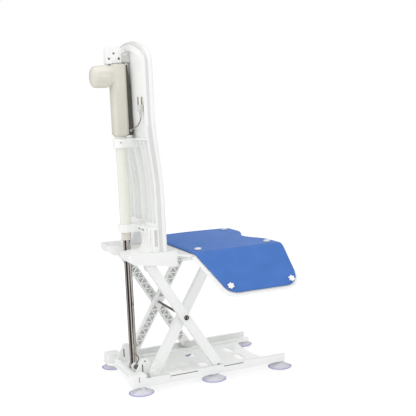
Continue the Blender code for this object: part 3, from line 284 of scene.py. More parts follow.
bpy.ops.object.select_all(action="DESELECT")
bpy.ops.mesh.primitive_plane_add(size=FLOOR_SIZE)
floor = bpy.context.object
floor.name = "studio_floor"
floor.location.z = -FLOOR_DROP
paper, tree, shader = new_finish("studio_paper", 1)
tree.nodes.remove(shader)
matt = add_node(tree, "BsdfDiffuse", {"Color": (FLOOR_TONE, FLOOR_TONE, FLOOR_TONE, 1)})
level = add_node(tree, "MapRange", {"Value": seen_directly(tree), "To Min": FLOOR_BOUNCE})
place = add_node(tree, "TexCoord")
reach = add_node(tree, "VectorMath", {0: place.outputs["Object"]}, operation="LENGTH")
spread = add_node(tree, "MapRange", {
    "Value": reach.outputs["Value"], "From Min": NEAR_REACH, "From Max": FAR_REACH,
    "To Min": FLOOR_GLOW, "To Max": FAR_GLOW})
glow = add_node(tree, "Emission", {"Color": spread.outputs["Result"], "Strength": level.outputs["Result"]})
both = add_node(tree, "AddShader", {0: matt.outputs["BSDF"], 1: glow.outputs["Emission"]})
feed(tree, tree.nodes["Material Output"], {"Surface": both.outputs["Shader"]})
floor.data.materials.append(paper)
print("floor is", FLOOR_SIZE, "m wide")

# %% [markdown]
# Six area lamps, each a place, a size and a power, are aimed at the chair's middle. The big
# ones overhead and behind shape the backrest, the low one reaches the base under the seat,
# and the weak ones on the camera's side only lift what it sees.

# %% Lamps
CENTRE = Vector((0, 0, 0.55))
LAMPS = {
    "overhead_box": ((-0.4, 0.6, 3.0), 2.6, 21),
    "low_box": ((1.7, -1.5, 0.70), 1.2, 9),
    "camera_box": ((-2.2, 1.9, 1.5), 2.0, 3),
    "rear_box": ((0.2, 3.0, 1.3), 2.4, 11),
    "front_box": ((-2.4, -2.2, 1.5), 1.8, 3),
    "spark_box": ((-2.4, -0.45, 1.35), 0.14, 3),
}
for name, (place, size, power) in LAMPS.items():
    bpy.ops.object.light_add(type="AREA", location=place)
    lamp = bpy.context.object
    lamp.name = name
    lamp.data.size = size
    lamp.data.energy = power
    lamp.rotation_mode = "QUATERNION"
    lamp.rotation_quaternion = (CENTRE - Vector(place)).to_track_quat("-Z", "Y")
    print("lamp", name, power, "W")

# %% [markdown]
# A polished rod has no colour of its own: it shows the room. In the picture it is nearly
# black with thin bright lines, so the studio was dark on both sides of the camera. Two dark
# cards do the same here, and two grey flags stand on the far side. The foot of each is drawn
# in towards the rod. Only mirror rays see them, so they take no light off the white plastic and
# throw no shadow.

# %% Dark cards
CARD_DISTANCE = 1.15
CARD_HEIGHT = 2.4
CARD_FOOT = 0.13
ROD_PLACE = Vector((0, 0.218, 0))
CARDS = {
    "brown_card": (12, 84, (0.060, 0.042, 0.032)),
    "black_card": (-60, -14, (0.012, 0.012, 0.013)),
    "left_flag": (105, 180, (0.20, 0.20, 0.20)),
    "right_flag": (-180, -105, (0.20, 0.20, 0.20)),
}


def bearing(point):
    """The angle of a point round the rod, in degrees from the line to the camera."""
    view = math.atan2(EYE.y - ROD_PLACE.y, EYE.x - ROD_PLACE.x)
    turn = view - math.atan2(point.y - ROD_PLACE.y, point.x - ROD_PLACE.x)
    return (math.degrees(turn) + 180) % 360 - 180


def dark_card(name, first, last, colour):
    """A curved upright card round the rod, from one bearing to another."""
    card = start_piece(bpy.ops.mesh.primitive_cylinder_add, name, vertices=120, end_fill_type="NOTHING",
                       radius=CARD_DISTANCE, depth=CARD_HEIGHT,
                       location=ROD_PLACE + Vector((0, 0, CARD_HEIGHT / 2)))
    pick("FACE", lambda p: not first <= bearing(p) <= last)
    bpy.ops.mesh.delete(type="FACE")
    pick("EDGE", lambda p: p.z < NEAR)
    bpy.ops.mesh.extrude_edges_move()
    bpy.ops.transform.resize(value=(CARD_FOOT, CARD_FOOT, 1), center_override=ROD_PLACE)
    bpy.ops.object.mode_set(mode="OBJECT")
    felt, tree, shader = new_finish(name + "_felt", 1)
    feed(tree, shader, {"Base Color": (*colour, 1)})
    card.data.materials.append(felt)
    for ray in ("camera", "diffuse", "shadow", "transmission"):
        setattr(card, "visible_" + ray, False)
    print(name, "has", len(card.data.polygons), "faces")


for name, (first, last, colour) in CARDS.items():
    dark_card(name, first, last, colour)

# %% [markdown]
# ## Finishes
# Every finish is made of nodes that read the piece's own coordinates, so it stays on the
# piece when the piece moves. A slow noise shifts the tone a little, as moulded plastic does,
# and a fine noise gives the grain that a bump node turns into relief. The helpers below add
# one such layer each.

# %% Helpers for finishes
def noise(tree, scale, detail=2.0, stretch=(1, 1, 1), source="Object"):
    """A noise on the piece's own coordinates, in waves per metre."""
    place = add_node(tree, "TexCoord").outputs[source]
    mapped = add_node(tree, "Mapping", {"Vector": place, "Scale": stretch}).outputs["Vector"]
    return add_node(tree, "TexNoise", {"Vector": mapped, "Scale": scale, "Detail": detail}).outputs["Fac"]


def tones(tree, amount, stops):
    """A colour that follows an amount from 0 to 1 through stops of (position, colour)."""
    ramp = add_node(tree, "ValToRGB", {"Fac": amount})
    band = ramp.color_ramp
    while len(band.elements) < len(stops):
        band.elements.new(0.5)
    for element, (position, colour) in zip(band.elements, stops):
        element.position = position
        element.color = (*colour, 1)
    return ramp.outputs["Color"]


def between(tree, amount, low, high):
    """A number that runs from low to high as the amount runs over the middle of a noise."""
    span = add_node(tree, "MapRange", {
        "Value": amount, "From Min": 0.3, "From Max": 0.7, "To Min": low, "To Max": high})
    return span.outputs["Result"]


def relief(tree, shader, height, depth, strength=0.5):
    """Turns a height into a bump on the shader's normal."""
    bump = add_node(tree, "Bump", {"Height": height, "Distance": depth, "Strength": strength})
    feed(tree, shader, {"Normal": bump.outputs["Normal"]})


# %% [markdown]
# ### Moulded plastics
# The white, ivory, dark and grey parts are injection mouldings: satin, with a fine even
# grain from the etched tool and a faint unevenness where the melt cooled. One function
# makes them all from a pair of near tones, and also a white darkened to paint the shade
# on the backrest's rounded rim.

# %% Plastics
GRAIN = 1400
MOTTLE = 9


def moulded_plastic(name, roughness, dark, pale, grain_depth=0.00006):
    """Satin moulded plastic between two near tones."""
    finish, tree, shader = new_finish(name, roughness)
    feed(tree, shader, {
        "Base Color": tones(tree, noise(tree, MOTTLE, 3), [(0.35, dark), (0.65, pale)]),
        "Roughness": between(tree, noise(tree, MOTTLE * 6, 4), roughness - 0.06, roughness + 0.06),
        "Specular IOR Level": 0.45,
    })
    relief(tree, shader, noise(tree, GRAIN, 2), grain_depth)
    return finish


PLASTICS = {
    "white_plastic": (0.36, (0.875, 0.885, 0.875), (0.90, 0.91, 0.90)),
    "ivory_plastic": (0.22, (0.69, 0.665, 0.595), (0.73, 0.70, 0.63), 0.00003),
    "dark_casing": (0.46, (0.075, 0.072, 0.058), (0.105, 0.101, 0.083)),
    "grey_plastic": (0.42, (0.60, 0.60, 0.57), (0.66, 0.66, 0.63)),
    "lead_grey": (0.45, (0.25, 0.25, 0.23), (0.31, 0.31, 0.29)),
    # A white darkened to paint the shade on the backrest's rounded rim.
    "rim_painted_shade": (0.40, (0.66, 0.667, 0.655), (0.69, 0.697, 0.685)),
}
FINISHES = {name: moulded_plastic(name, *settings) for name, settings in PLASTICS.items()}
print("plastics:", ", ".join(FINISHES))

# %% [markdown]
# ### Metals and paint
# The column tube is painted cream, the piston rod is polished chrome with faint lengthwise
# wipe marks, and the axle, pins and bolts are dark zinc. Wipe marks are a noise stretched
# along Z until it becomes streaks.

# %% Metals and paint
EVEN = (1, 1, 1)
STREAK = (1, 1, 0.012)
WIPE_MARKS = 700
PAINT_DRIFT = 14
PAINT_PEEL = 420


def polished(name, dark, pale, roughness, stretch):
    """Bare metal with streaks along one direction."""
    finish, tree, shader = new_finish(name, roughness, 1.0)
    streaks = noise(tree, WIPE_MARKS, 3, stretch)
    feed(tree, shader, {
        "Base Color": tones(tree, streaks, [(0.3, dark), (0.7, pale)]),
        "Roughness": between(tree, streaks, roughness * 0.7, roughness * 1.4),
    })
    relief(tree, shader, streaks, 0.00002, 0.3)
    return finish


def sprayed(name, dark, pale, roughness):
    """Sprayed paint with the soft orange peel that a tube gets."""
    finish, tree, shader = new_finish(name, roughness)
    slow = noise(tree, PAINT_DRIFT, 2, (1, 1, 0.25))
    feed(tree, shader, {
        "Base Color": tones(tree, slow, [(0.35, dark), (0.65, pale)]),
        "Coat Weight": 0.25,
        "Coat Roughness": 0.12,
    })
    relief(tree, shader, noise(tree, PAINT_PEEL, 1), 0.00008, 0.35)
    return finish


METALS = {
    "chrome_rod": ((0.46, 0.425, 0.40), (0.60, 0.565, 0.54), 0.09, STREAK),
    "dark_steel": ((0.16, 0.15, 0.145), (0.27, 0.26, 0.25), 0.30, EVEN),
    "pin_brass": ((0.42, 0.36, 0.25), (0.55, 0.48, 0.35), 0.28, STREAK),
}
FINISHES["cream_tube"] = sprayed("cream_tube", (0.795, 0.795, 0.725), (0.83, 0.83, 0.76), 0.34)
for name, settings in METALS.items():
    FINISHES[name] = polished(name, *settings)
print("paint: cream_tube, metals:", ", ".join(METALS))

# %% [markdown]
# ### Blue cover
# The cover is a closed-cell foam with a fine blue knit on top. The knit follows the cloth,
# so its weave reads a UV map that is laid out flat in metres. A little sheen lightens it at
# a grazing angle, as the seat shows against the flap. The raw foam at its cut edge is tan,
# and an attribute named rise, from 0 under the cover to 1 on top, says where that is.

# %% Cover finish
KNIT_PITCH = 0.0011
KNIT_STOPS = [(0.3, (0.062, 0.165, 0.480)), (0.7, (0.072, 0.190, 0.535))]
FOAM_TAN = (0.20, 0.12, 0.06, 1)


def knit_cover():
    """Blue knit over tan foam, laid out by the cover's own UV map and its rise."""
    finish, tree, shader = new_finish("blue_cover", 0.72)
    flat = add_node(tree, "TexCoord").outputs["UV"]
    weave = {"Vector": flat, "Scale": 0.5 / KNIT_PITCH / math.pi, "Distortion": 0.6}
    rows, columns = (add_node(tree, "TexWave", weave, bands_direction=way).outputs["Fac"] for way in "XY")
    loops = add_node(tree, "Math", {0: rows, 1: columns}, operation="MULTIPLY")
    knit = tones(tree, noise(tree, 16, 4, source="UV"), KNIT_STOPS)
    rise = add_node(tree, "Attribute", attribute_name="rise")
    edge = add_node(tree, "MapRange", {"Value": rise.outputs["Fac"], "From Min": 0.16, "From Max": 0.24})
    colour = add_node(tree, "Mix", {"Factor": edge.outputs["Result"], "A": FOAM_TAN, "B": knit},
                      data_type="RGBA")
    feed(tree, shader, {
        "Base Color": colour.outputs["Result"],
        "Sheen Weight": 0.05,
        "Sheen Roughness": 0.45,
        "Specular IOR Level": 0.16,
    })
    relief(tree, shader, loops.outputs["Value"], 0.00018, 0.35)
    return finish


FINISHES["blue_cover"] = knit_cover()
print("cover knit pitch:", KNIT_PITCH * 1000, "mm")

# %% [markdown]
# ### Suction cups
# The cups are clear soft vinyl. Light is lost on the long way through the lip, so the rim
# looks violet while the bell is nearly colourless. An attribute named rim says how near the
# lip a point is, and the colour follows it.

# %% Cup finish
VINYL_STOPS = [(0.0, (0.90, 0.90, 0.93)), (0.78, (0.84, 0.84, 0.93)),
               (0.92, (0.62, 0.60, 0.88)), (1.0, (0.33, 0.31, 0.70))]


def clear_vinyl():
    """Soft clear vinyl that turns violet towards its lip."""
    finish, tree, shader = new_finish("violet_cup", 0.22)
    rim = add_node(tree, "Attribute", attribute_name="rim")
    feed(tree, shader, {
        "Base Color": tones(tree, rim.outputs["Fac"], VINYL_STOPS),
        "Transmission Weight": 0.45,
        "IOR": 1.42,
        "Coat Weight": 0.3,
    })
    relief(tree, shader, noise(tree, 160, 2), 0.00010, 0.3)
    return finish


FINISHES["violet_cup"] = clear_vinyl()
print("finishes:", len(FINISHES))

# %% [markdown]
# ## Handing a piece over
# Each finished piece needs the same three things: the finish of the record's slot it is painted
# from, the solid it stands for hidden away, and the body it rides on. One helper, dress, does all
# three. The slot and the body of every solid come from the frame itself.

# %% Dress a piece
SLOTS = {part["node"]: part["material_slot"] for part in frame["record"]["subparts"]}
BODIES = {name: body for body, names in frame["record"]["behaviour"]["bodies"].items() for name in names}
BOTH_SIDES = (("left", 1), ("right", -1))


def dress(piece, *nodes, slot=None, body=None, rides=True):
    """Gives a piece the finish of its slot, hides its solids, and lets it stand for them on their body."""
    slot = slot or SLOTS[nodes[0]]
    piece.data.materials.clear()
    piece.data.materials.append(FINISHES[slot])
    if nodes:
        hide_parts(*nodes)
    if rides:
        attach(piece, body or BODIES[nodes[0]])
    return piece


for name, solid in frame["nodes"].items():
    solid.data.materials.clear()
    solid.data.materials.append(FINISHES[SLOTS[name]])
print("painted", len(frame["nodes"]), "solids")

# %% [markdown]
# ## The cord first
# A thin lead leaves the motor column through a small gland and ends in a plug that is parked
# on the back of the backrest. It is the one free cord on the chair, so its route is settled
# before anything else: straight out of the gland, sideways in a slack bow, and up into the
# plug. A curve with a round bevel is the natural way to draw it, and a mesh is made of it.

# %% Lead
CORD_RADIUS = 0.002
GLAND_TIP = Vector((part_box("cord_gland")[0].x, *middle("cord_gland").yz))
PLUG_FOOT = under("mains_plug")
LEAD_ROUTE = [
    GLAND_TIP,
    GLAND_TIP + Vector((-0.008, 0.001, 0.001)),
    GLAND_TIP + Vector((-0.030, 0.003, 0.006)),
    PLUG_FOOT + Vector((0.024, 0.003, -0.024)),
    PLUG_FOOT + Vector((0.002, 0.001, -0.008)),
    PLUG_FOOT,
]
ROUTE_STEPS = 6


def smooth_route(points, steps):
    """Points on a smooth curve through the route's own points."""
    ends = [points[0] * 2 - points[1]] + points + [points[-1] * 2 - points[-2]]
    route = []
    for before, start, end, after in zip(ends, ends[1:], ends[2:], ends[3:]):
        for step in range(steps):
            t = step / steps
            bend = 2 * before - 5 * start + 4 * end - after
            twist = 3 * start - before - 3 * end + after
            route.append(0.5 * (2 * start + (end - before) * t + bend * t * t + twist * t ** 3))
    return route + [points[-1]]


lead_points = smooth_route(LEAD_ROUTE, ROUTE_STEPS)
line = bpy.data.curves.new("mains_lead_sheath", "CURVE")
line.dimensions = "3D"
line.bevel_depth = CORD_RADIUS
line.bevel_resolution = 4
line.use_fill_caps = True
spline = line.splines.new("POLY")
spline.points.add(len(lead_points) - 1)
for point, place in zip(spline.points, lead_points):
    point.co = (*place, 1)
lead = bpy.data.objects.new("mains_lead_sheath", line)
bpy.context.collection.objects.link(lead)
alone(lead)
bpy.ops.object.convert(target="MESH")
bpy.ops.object.shade_smooth()
dress(lead, "mains_lead")
lead.data.materials[0] = FINISHES["lead_grey"]

# %% [markdown]
# ## Mouldings with eased edges
# The white mouldings already have their true form in the solids, but a solid's edges are
# razor sharp and no moulding's are. A copy of each is merged, its flat triangles are
# dissolved into whole faces, and a bevel limited by angle rounds every edge by about a
# millimetre, so that each edge catches a thin line of light.

# %% Ease the mouldings
FLAT_ANGLE = math.radians(0.6)
EDGE_ANGLE = math.radians(32)
SMOOTH_ANGLE = math.radians(34)


def eased(name, ease):
    """A copy of a solid with rounded edges, standing for it on the same body."""
    piece = alone(copied(name + "_moulding", frame["nodes"][name].data))
    bpy.ops.mesh.customdata_custom_splitnormals_clear()
    bpy.ops.object.mode_set(mode="EDIT")
    bpy.ops.mesh.select_all(action="SELECT")
    bpy.ops.mesh.remove_doubles(threshold=WELD)
    bpy.ops.mesh.dissolve_limited(angle_limit=FLAT_ANGLE)
    bpy.ops.object.mode_set(mode="OBJECT")
    bake(piece, "BEVEL", width=ease, segments=2, limit_method="ANGLE", angle_limit=EDGE_ANGLE)
    bpy.ops.object.shade_smooth_by_angle(angle=SMOOTH_ANGLE)
    bake(piece, "WEIGHTED_NORMAL", keep_sharp=True)
    return dress(piece, name)


EASE = {
    "backrest": 0.0016, "seat_frame": 0.0010, "rear_crossmember": 0.0010, "base_plate": 0.0008,
    "rail": 0.0009, "inner_arm": 0.0006, "outer_arm": 0.0006, "flap_plate": 0.0008,
    "top_bracket": 0.0010, "tube_collar": 0.0008, "tube_clamp": 0.0008, "rod_clevis": 0.0008,
    "rod_catch": 0.0004, "bracket_post": 0.0008, "foot_roller": 0.0006, "upper_roller": 0.0006,
}
for kind, ease in EASE.items():
    pair = [f"{kind}_{label}" for label, side in BOTH_SIDES]
    for name in [kind] if kind in frame["nodes"] else pair:
        piece = eased(name, ease)
        print(piece.name, len(piece.data.polygons), "faces")

# %% [markdown]
# ## Painted shade round the backrest
# The backrest's rounded rear edge turns away from both big lights and reads as a soft grey band,
# all the way round the arch. That shade is painted: a second finish a little darker than the
# white goes on those faces alone, the ones on the outer edge that face partly back and partly
# outwards. A mesh can hold several materials, and each face says which one it takes.

# %% Paint shade on the backrest's rounded edge
WAIST = 0.148
FOOT = 0.545
FOOT_SIDE = 0.1585
ARCH = 1.04
LEAST_BACK = 0.2
MOST_BACK = 0.97

rim = bpy.data.objects["backrest_moulding"]
# The darker finish paints the shade on the faces picked below.
rim.data.materials.append(FINISHES["rim_painted_shade"])
toned = 0
for face in rim.data.polygons:
    clear = WAIST if face.center.z > FOOT else FOOT_SIDE
    at_edge = abs(face.center.x) > clear or face.center.z > ARCH
    outward = face.normal.x * face.center.x + face.normal.z * max(0.0, face.center.z - ARCH) > 0
    if at_edge and outward and LEAST_BACK < face.normal.y < MOST_BACK:
        face.material_index = 1
        toned += 1
print("toned", toned, "faces of", rim.name)

# %% [markdown]
# ## The padded cover, cut flat
# One foam pad in blue knit covers the seat and runs on over both flaps. Such a thing is far
# easier to make flat and to bend last. This step draws its outline on the level, half of it
# from the dip at the front round to the rear edge, and mirrors it. A filled circle has its
# points moved onto that outline and is then extruded to the pad's thickness.

# %% Flat outline of the cover
SEAT_LOW, SEAT_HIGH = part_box("seat_cover")
HINGE = middle("flap_hinge_pin_left")
DROOP = math.radians(45.7)
FLAP_WIDTH = 0.1642
FLAP_REAR = -0.0074
FLAP_CORNER = 0.050
FRONT_DIP = 0.038
DIP_HALF = 0.120
DIP_STEPS = 12
PAD_INSET = 0.0012
PAD_THICK = 0.0072

edge = HINGE.x - SEAT_HIGH.x
bend_radius = edge / math.tan(DROOP / 2)
bend_length = bend_radius * DROOP
flat_outer = SEAT_HIGH.x + bend_length + FLAP_WIDTH - edge - PAD_INSET
front = SEAT_LOW.y + PAD_INSET
rear = SEAT_HIGH.y - PAD_INSET


def round_corner(before, corner, after, radius, steps=8):
    """Points of an arc that rounds one corner of an outline."""
    corner = Vector(corner)
    back = (Vector(before) - corner).normalized()
    ahead = (Vector(after) - corner).normalized()
    half = back.angle(ahead) / 2
    hub = corner + (back + ahead).normalized() * radius / math.sin(half)
    start = corner + back * radius / math.tan(half) - hub
    turn = math.pi - 2 * half
    return [hub + Matrix.Rotation(turn * step / steps, 2) @ start for step in range(steps + 1)]


dip = [Vector((x, front + FRONT_DIP * (1 + math.cos(math.pi * x / DIP_HALF)) / 2))
       for x in (DIP_HALF * step / DIP_STEPS for step in range(DIP_STEPS + 1))]
front_corner = (flat_outer, front)
rear_corner = (flat_outer, FLAP_REAR - PAD_INSET)
seat_corner = (SEAT_HIGH.x, rear)
half_outline = dip + round_corner(dip[-1], front_corner, rear_corner, FLAP_CORNER)
half_outline += round_corner(front_corner, rear_corner, seat_corner, FLAP_CORNER)
half_outline += [Vector(seat_corner), Vector((0, rear))]
outline = half_outline + [Vector((-p.x, p.y)) for p in reversed(half_outline[1:-1])]

pad = drawn("cover_pad", [(*point, SEAT_LOW.z) for point in outline], "NGON")
bpy.ops.mesh.select_all(action="SELECT")
bpy.ops.mesh.extrude_region_move(TRANSFORM_OT_translate={"value": (0, 0, PAD_THICK)})
end_piece()
print("flat pad:", [round(v, 3) for v in pad.dimensions], "from", len(outline), "outline points")

# %% [markdown]
# ## The padded cover, inflated
# A voxel remesh gives the pad an even skin of small squares. Its underside is glued to the
# plate and each stud presses it down, so those points are pinned. The rest is cloth with a
# little pressure inside, which swells until the skin pulls tight: the edges turn round and
# the surface rises softly between the studs. A swell that is too high is scaled back.

# %% Inflate the cover
PAD_VOXEL = 0.0042
GLUED = 0.0016
STUD_PRESS = 0.0022
STUD_REACH = 0.011
CLOTH = {
    "quality": 6, "mass": 0.25, "tension_stiffness": 25, "compression_stiffness": 25,
    "bending_stiffness": 2, "air_damping": 5, "vertex_group_mass": "pinned",
    "use_pressure": True, "uniform_pressure_force": 4.0,
}
SETTLE_FRAMES = 20
MAX_SWELL = 0.0034
STUDS = [name for name in frame["nodes"] if "_stud_" in name]


def flat_place(point):
    """Where a point on the resting chair lies on the flat pad."""
    side = math.copysign(1, point.x)
    along = (abs(point.x) - HINGE.x) * math.cos(DROOP) - (point.z - HINGE.z) * math.sin(DROOP)
    x = abs(point.x) if abs(point.x) < SEAT_HIGH.x else SEAT_HIGH.x + bend_length + along - edge
    return Vector((side * x, point.y))


spots = [flat_place(middle(name)) for name in STUDS]
bake(pad, "REMESH", mode="VOXEL", voxel_size=PAD_VOXEL)
pinned = pad.vertex_groups.new(name="pinned")
for vert in pad.data.vertices:
    near = min((vert.co.xy - spot).length for spot in spots)
    if vert.co.z < SEAT_LOW.z + GLUED:
        pinned.add([vert.index], 1.0, "REPLACE")
    elif near < STUD_REACH:
        vert.co.z -= STUD_PRESS
        pinned.add([vert.index], 1.0, "REPLACE")

flat_heights = [vert.co.z for vert in pad.data.vertices]
cloth = pad.modifiers.new("cloth", "CLOTH")
for setting, value in CLOTH.items():
    setattr(cloth.settings, setting, value)
cloth.settings.effector_weights.gravity = 0
cloth.point_cache.frame_start = 1
cloth.point_cache.frame_end = SETTLE_FRAMES
for moment in range(1, SETTLE_FRAMES + 1):
    bpy.context.scene.frame_set(moment)
bpy.ops.object.modifier_apply(modifier=cloth.name)
bpy.context.scene.frame_set(1)
swell = max(vert.co.z - before for vert, before in zip(pad.data.vertices, flat_heights))
for vert, before in zip(pad.data.vertices, flat_heights):
    if swell > MAX_SWELL:
        vert.co.z = before + (vert.co.z - before) * MAX_SWELL / swell
bpy.ops.object.mode_set(mode="EDIT")
bpy.ops.mesh.select_all(action="SELECT")
bpy.ops.mesh.vertices_smooth(factor=0.5, repeat=2)
bpy.ops.object.mode_set(mode="OBJECT")
print("pad swelled by", round(swell * 1000, 2), "mm on", len(pad.data.vertices), "points")

# %% [markdown]
# ## The padded cover, bent over the hinges
# Now the pad is cut where its two folds begin, and each side is bent round its hinge. Before
# the bend, every point stores where it lay on the flat, as a UV map in metres, and how high it
# stood in the pad. The knit's pattern follows the first and the tan foam at the lower edge
# follows the second, so both stay true through the bend. The middle rides on the seat.
# Each side part follows the seat at the fold and the flap beyond it.
# Each side part rests where it is bent, on no body.

# %% Cut and bend the cover
def bent(point):
    """A point of the flat pad, carried round the hinge line to where it rests."""
    beyond = abs(point.x) - SEAT_HIGH.x
    height = point.z - HINGE.z
    side = math.copysign(1, point.x)
    if beyond <= 0:
        return point.copy()
    if beyond < bend_length:
        turn = beyond / bend_radius
        x = SEAT_HIGH.x + (bend_radius + height) * math.sin(turn)
        z = HINGE.z - bend_radius + (bend_radius + height) * math.cos(turn)
    else:
        along = edge + beyond - bend_length
        x = HINGE.x + along * math.cos(DROOP) + height * math.sin(DROOP)
        z = HINGE.z - along * math.sin(DROOP) + height * math.cos(DROOP)
    return Vector((side * x, point.y, z))


def cover_part(name, cuts):
    """The part of the pad on the kept side of each cut, with its flat place stored, bent to rest."""
    piece = alone(copied(name, pad.data))
    bpy.ops.object.mode_set(mode="EDIT")
    for x, outward in cuts:
        bpy.ops.mesh.select_all(action="SELECT")
        bpy.ops.mesh.bisect(plane_co=(x, 0, 0), plane_no=(outward, 0, 0), use_fill=True, clear_outer=True)
    bpy.ops.object.mode_set(mode="OBJECT")
    top = max(vert.co.z for vert in piece.data.vertices)
    store(piece, "rise", lambda point: (point.z - SEAT_LOW.z) / (top - SEAT_LOW.z))
    flat = piece.data.uv_layers.new(name="flat")
    for loop in piece.data.loops:
        flat.data[loop.index].uv = piece.data.vertices[loop.vertex_index].co.xy
    for vert in piece.data.vertices:
        vert.co = bent(vert.co)
    bpy.ops.object.shade_smooth()
    return piece


seat_pad = cover_part("seat_pad", ((SEAT_HIGH.x, 1), (-SEAT_HIGH.x, -1)))
dress(seat_pad, "seat_cover")
for label, side in BOTH_SIDES:
    flap_pad = cover_part("flap_pad_" + label, ((side * SEAT_HIGH.x, -side),))
    dress(flap_pad, "flap_cover_" + label, rides=False)
    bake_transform(flap_pad)
    print(flap_pad.name, len(flap_pad.data.polygons), "faces")
bpy.data.objects.remove(pad)

# %% [markdown]
# ## Turned pieces
# The motor cap, the column and the cups are round, so each is drawn as half a section and
# spun about its axis. The section is drawn through (radius, height) pairs. Its closing edge
# is deleted unless the section is a ring itself.

# %% Spin a section
AXIS = {"X": Vector((1, 0, 0)), "Y": Vector((0, 1, 0)), "Z": Vector((0, 0, 1))}
ACROSS = {"X": Vector((0, 1, 0)), "Y": Vector((0, 0, 1)), "Z": Vector((1, 0, 0))}


def spun(name, section, place, axis="Z", steps=48, ring=False, angle=35):
    """A section of (radius, height) points spun round an axis through a place."""
    points = [place + ACROSS[axis] * radius + AXIS[axis] * height for radius, height in section]
    piece = drawn(name, points, "NOTHING")
    if not ring:
        mesh = bmesh.from_edit_mesh(piece.data)
        mesh.verts.ensure_lookup_table()
        ends = {mesh.verts[0], mesh.verts[-1]}
        bpy.ops.mesh.select_mode(type="EDGE")
        bpy.ops.mesh.select_all(action="DESELECT")
        for edge_line in mesh.edges:
            edge_line.select_set(set(edge_line.verts) == ends)
        bmesh.update_edit_mesh(piece.data)
        bpy.ops.mesh.delete(type="EDGE")
    bpy.ops.mesh.select_all(action="SELECT")
    bpy.ops.mesh.spin(steps=steps, angle=2 * math.pi, center=place, axis=AXIS[axis])
    return end_piece(angle)


def quarter(radius, height, bend, steps=6):
    """A quarter round in a section, from its outer side at a radius to its end at a height."""
    return [(radius - bend + bend * math.cos(turn), height - bend + bend * math.sin(turn))
            for turn in (math.pi / 2 * step / steps for step in range(steps + 1))]


# %% [markdown]
# ## Motor housing and cap
# The housing is a box. Its upright edges are cut to facets, a step is inset at its foot, and
# then every edge is rounded. The cap is spun. Towards its foot its points are squeezed to
# the housing's width and lifted to its top, so that the two read as one moulding. The dark
# spine beside them is a box too, cut across once and drawn in above the cut.

# %% Motor housing
FACET = 0.009
HOUSING_ROUND = 0.0018
HOUSING_HALF = 0.027
HOUSING_REAR = 0.243
HOUSING_STEP = 0.006
HOUSING_INSET = 0.004
house_low, house_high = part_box("actuator_housing")
house_foot = house_low.z + HOUSING_STEP
housing = block("housing_shell", (-HOUSING_HALF, house_low.y, house_foot),
                (HOUSING_HALF, HOUSING_REAR, house_high.z))
pick("EDGE", lambda p: house_foot + NEAR < p.z < house_high.z - NEAR)
bpy.ops.mesh.bevel(offset=FACET, segments=1, affect="EDGES")
pick("FACE", lambda p: p.z < house_foot + NEAR)
bpy.ops.mesh.inset(thickness=HOUSING_INSET)
bpy.ops.mesh.extrude_region_move(TRANSFORM_OT_translate={"value": (0, 0, -HOUSING_STEP)})
bpy.ops.mesh.select_all(action="SELECT")
bpy.ops.mesh.bevel(offset=HOUSING_ROUND, segments=3, affect="EDGES")
dress(end_piece(40), "actuator_housing")
print(housing.name, len(housing.data.polygons), "faces")

# %% Motor cap
CAP_END = 0.311
CAP_BEND = 0.016
CAP_DOME = 0.002
CAP_SUNK = 0.009
NECK_FOOT = 0.031
NECK_RISE = 0.026
NECK_HALF = HOUSING_HALF - 0.001
NECK_STEPS = 8
TOP_AT_FOOT = 0.0392
TOP_AT_END = 0.0345
cap_radius = lengths("motor_cap").x / 2
cap_place = Vector((0, HOUSING_REAR - CAP_SUNK, middle("motor_cap").z))
cap_length = CAP_END - cap_place.y


def ease_in(share):
    """Runs from 0 to 1 with a soft start and a soft end."""
    share = min(max(share, 0), 1)
    return share * share * (3 - 2 * share)


section = [(0, 0)]
for share in (step / NECK_STEPS for step in range(NECK_STEPS + 1)):
    section.append((NECK_FOOT + (cap_radius - NECK_FOOT) * ease_in(share), NECK_RISE * share))
section += quarter(cap_radius, cap_length - CAP_DOME, CAP_BEND)
section += [(0.6 * (cap_radius - CAP_BEND), cap_length - 0.3 * CAP_DOME), (0, cap_length)]
cap = spun("motor_cap_shell", section, cap_place, "Y", 64)
for vert in cap.data.vertices:
    along = vert.co.y - cap_place.y
    swell = ease_in(along / NECK_RISE)
    half = NECK_HALF + (cap_radius - NECK_HALF) * swell
    vert.co.x = min(max(vert.co.x, -half), half)
    top = TOP_AT_FOOT + (TOP_AT_END - TOP_AT_FOOT) * along / cap_length
    if vert.co.z > cap_place.z:
        lift = top / (NECK_FOOT + (cap_radius - NECK_FOOT) * swell)
        vert.co.z = cap_place.z + (vert.co.z - cap_place.z) * lift
dress(cap, "motor_cap")
print(cap.name, len(cap.data.polygons), "faces")

# %% Dark spine
SPINE_EASE = 0.0012
SPINE_TAPER = 0.070
SPINE_SLOPE = 0.008
spine_low, spine_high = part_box("casing_spine")
spine = block("spine_casing", spine_low, spine_high)
bpy.ops.mesh.bisect(plane_co=(0, 0, spine_high.z - SPINE_TAPER), plane_no=(0, 0, 1))
pick("VERT", lambda p: p.z > spine_high.z - NEAR and p.y < spine_low.y + NEAR)
bpy.ops.transform.translate(value=(0, SPINE_SLOPE, 0))
bpy.ops.mesh.select_all(action="SELECT")
bpy.ops.mesh.bevel(offset=SPINE_EASE, segments=3, affect="EDGES")
dress(end_piece(40), "casing_spine")
print(spine.name, "is", round((spine_high.z - spine_low.z) * 1000), "mm tall")

# %% [markdown]
# ## Column and rod
# The tube and its bush are rings, so their sections are closed. The rod is solid, with two
# fine grooves near its foot.

# %% Column tube, bush and rod
EDGE_ROUND = 0.0008
TUBE_BORE = 0.0150
BUSH_GAP = 0.001
GROOVE_UP = 0.053
GROOVE_PITCH = 0.016
GROOVE_DEPTH = 0.0009


def sleeve(name, node, bore):
    """A round tube with eased ends, standing for a solid of the same size."""
    radius = lengths(node).x / 2
    length = lengths(node).z
    section = [(bore, 0), (radius - EDGE_ROUND, 0), (radius, EDGE_ROUND)]
    section += [(radius, length - EDGE_ROUND), (radius - EDGE_ROUND, length), (bore, length)]
    return dress(spun(name, section, under(node), "Z", 56, ring=True), node)


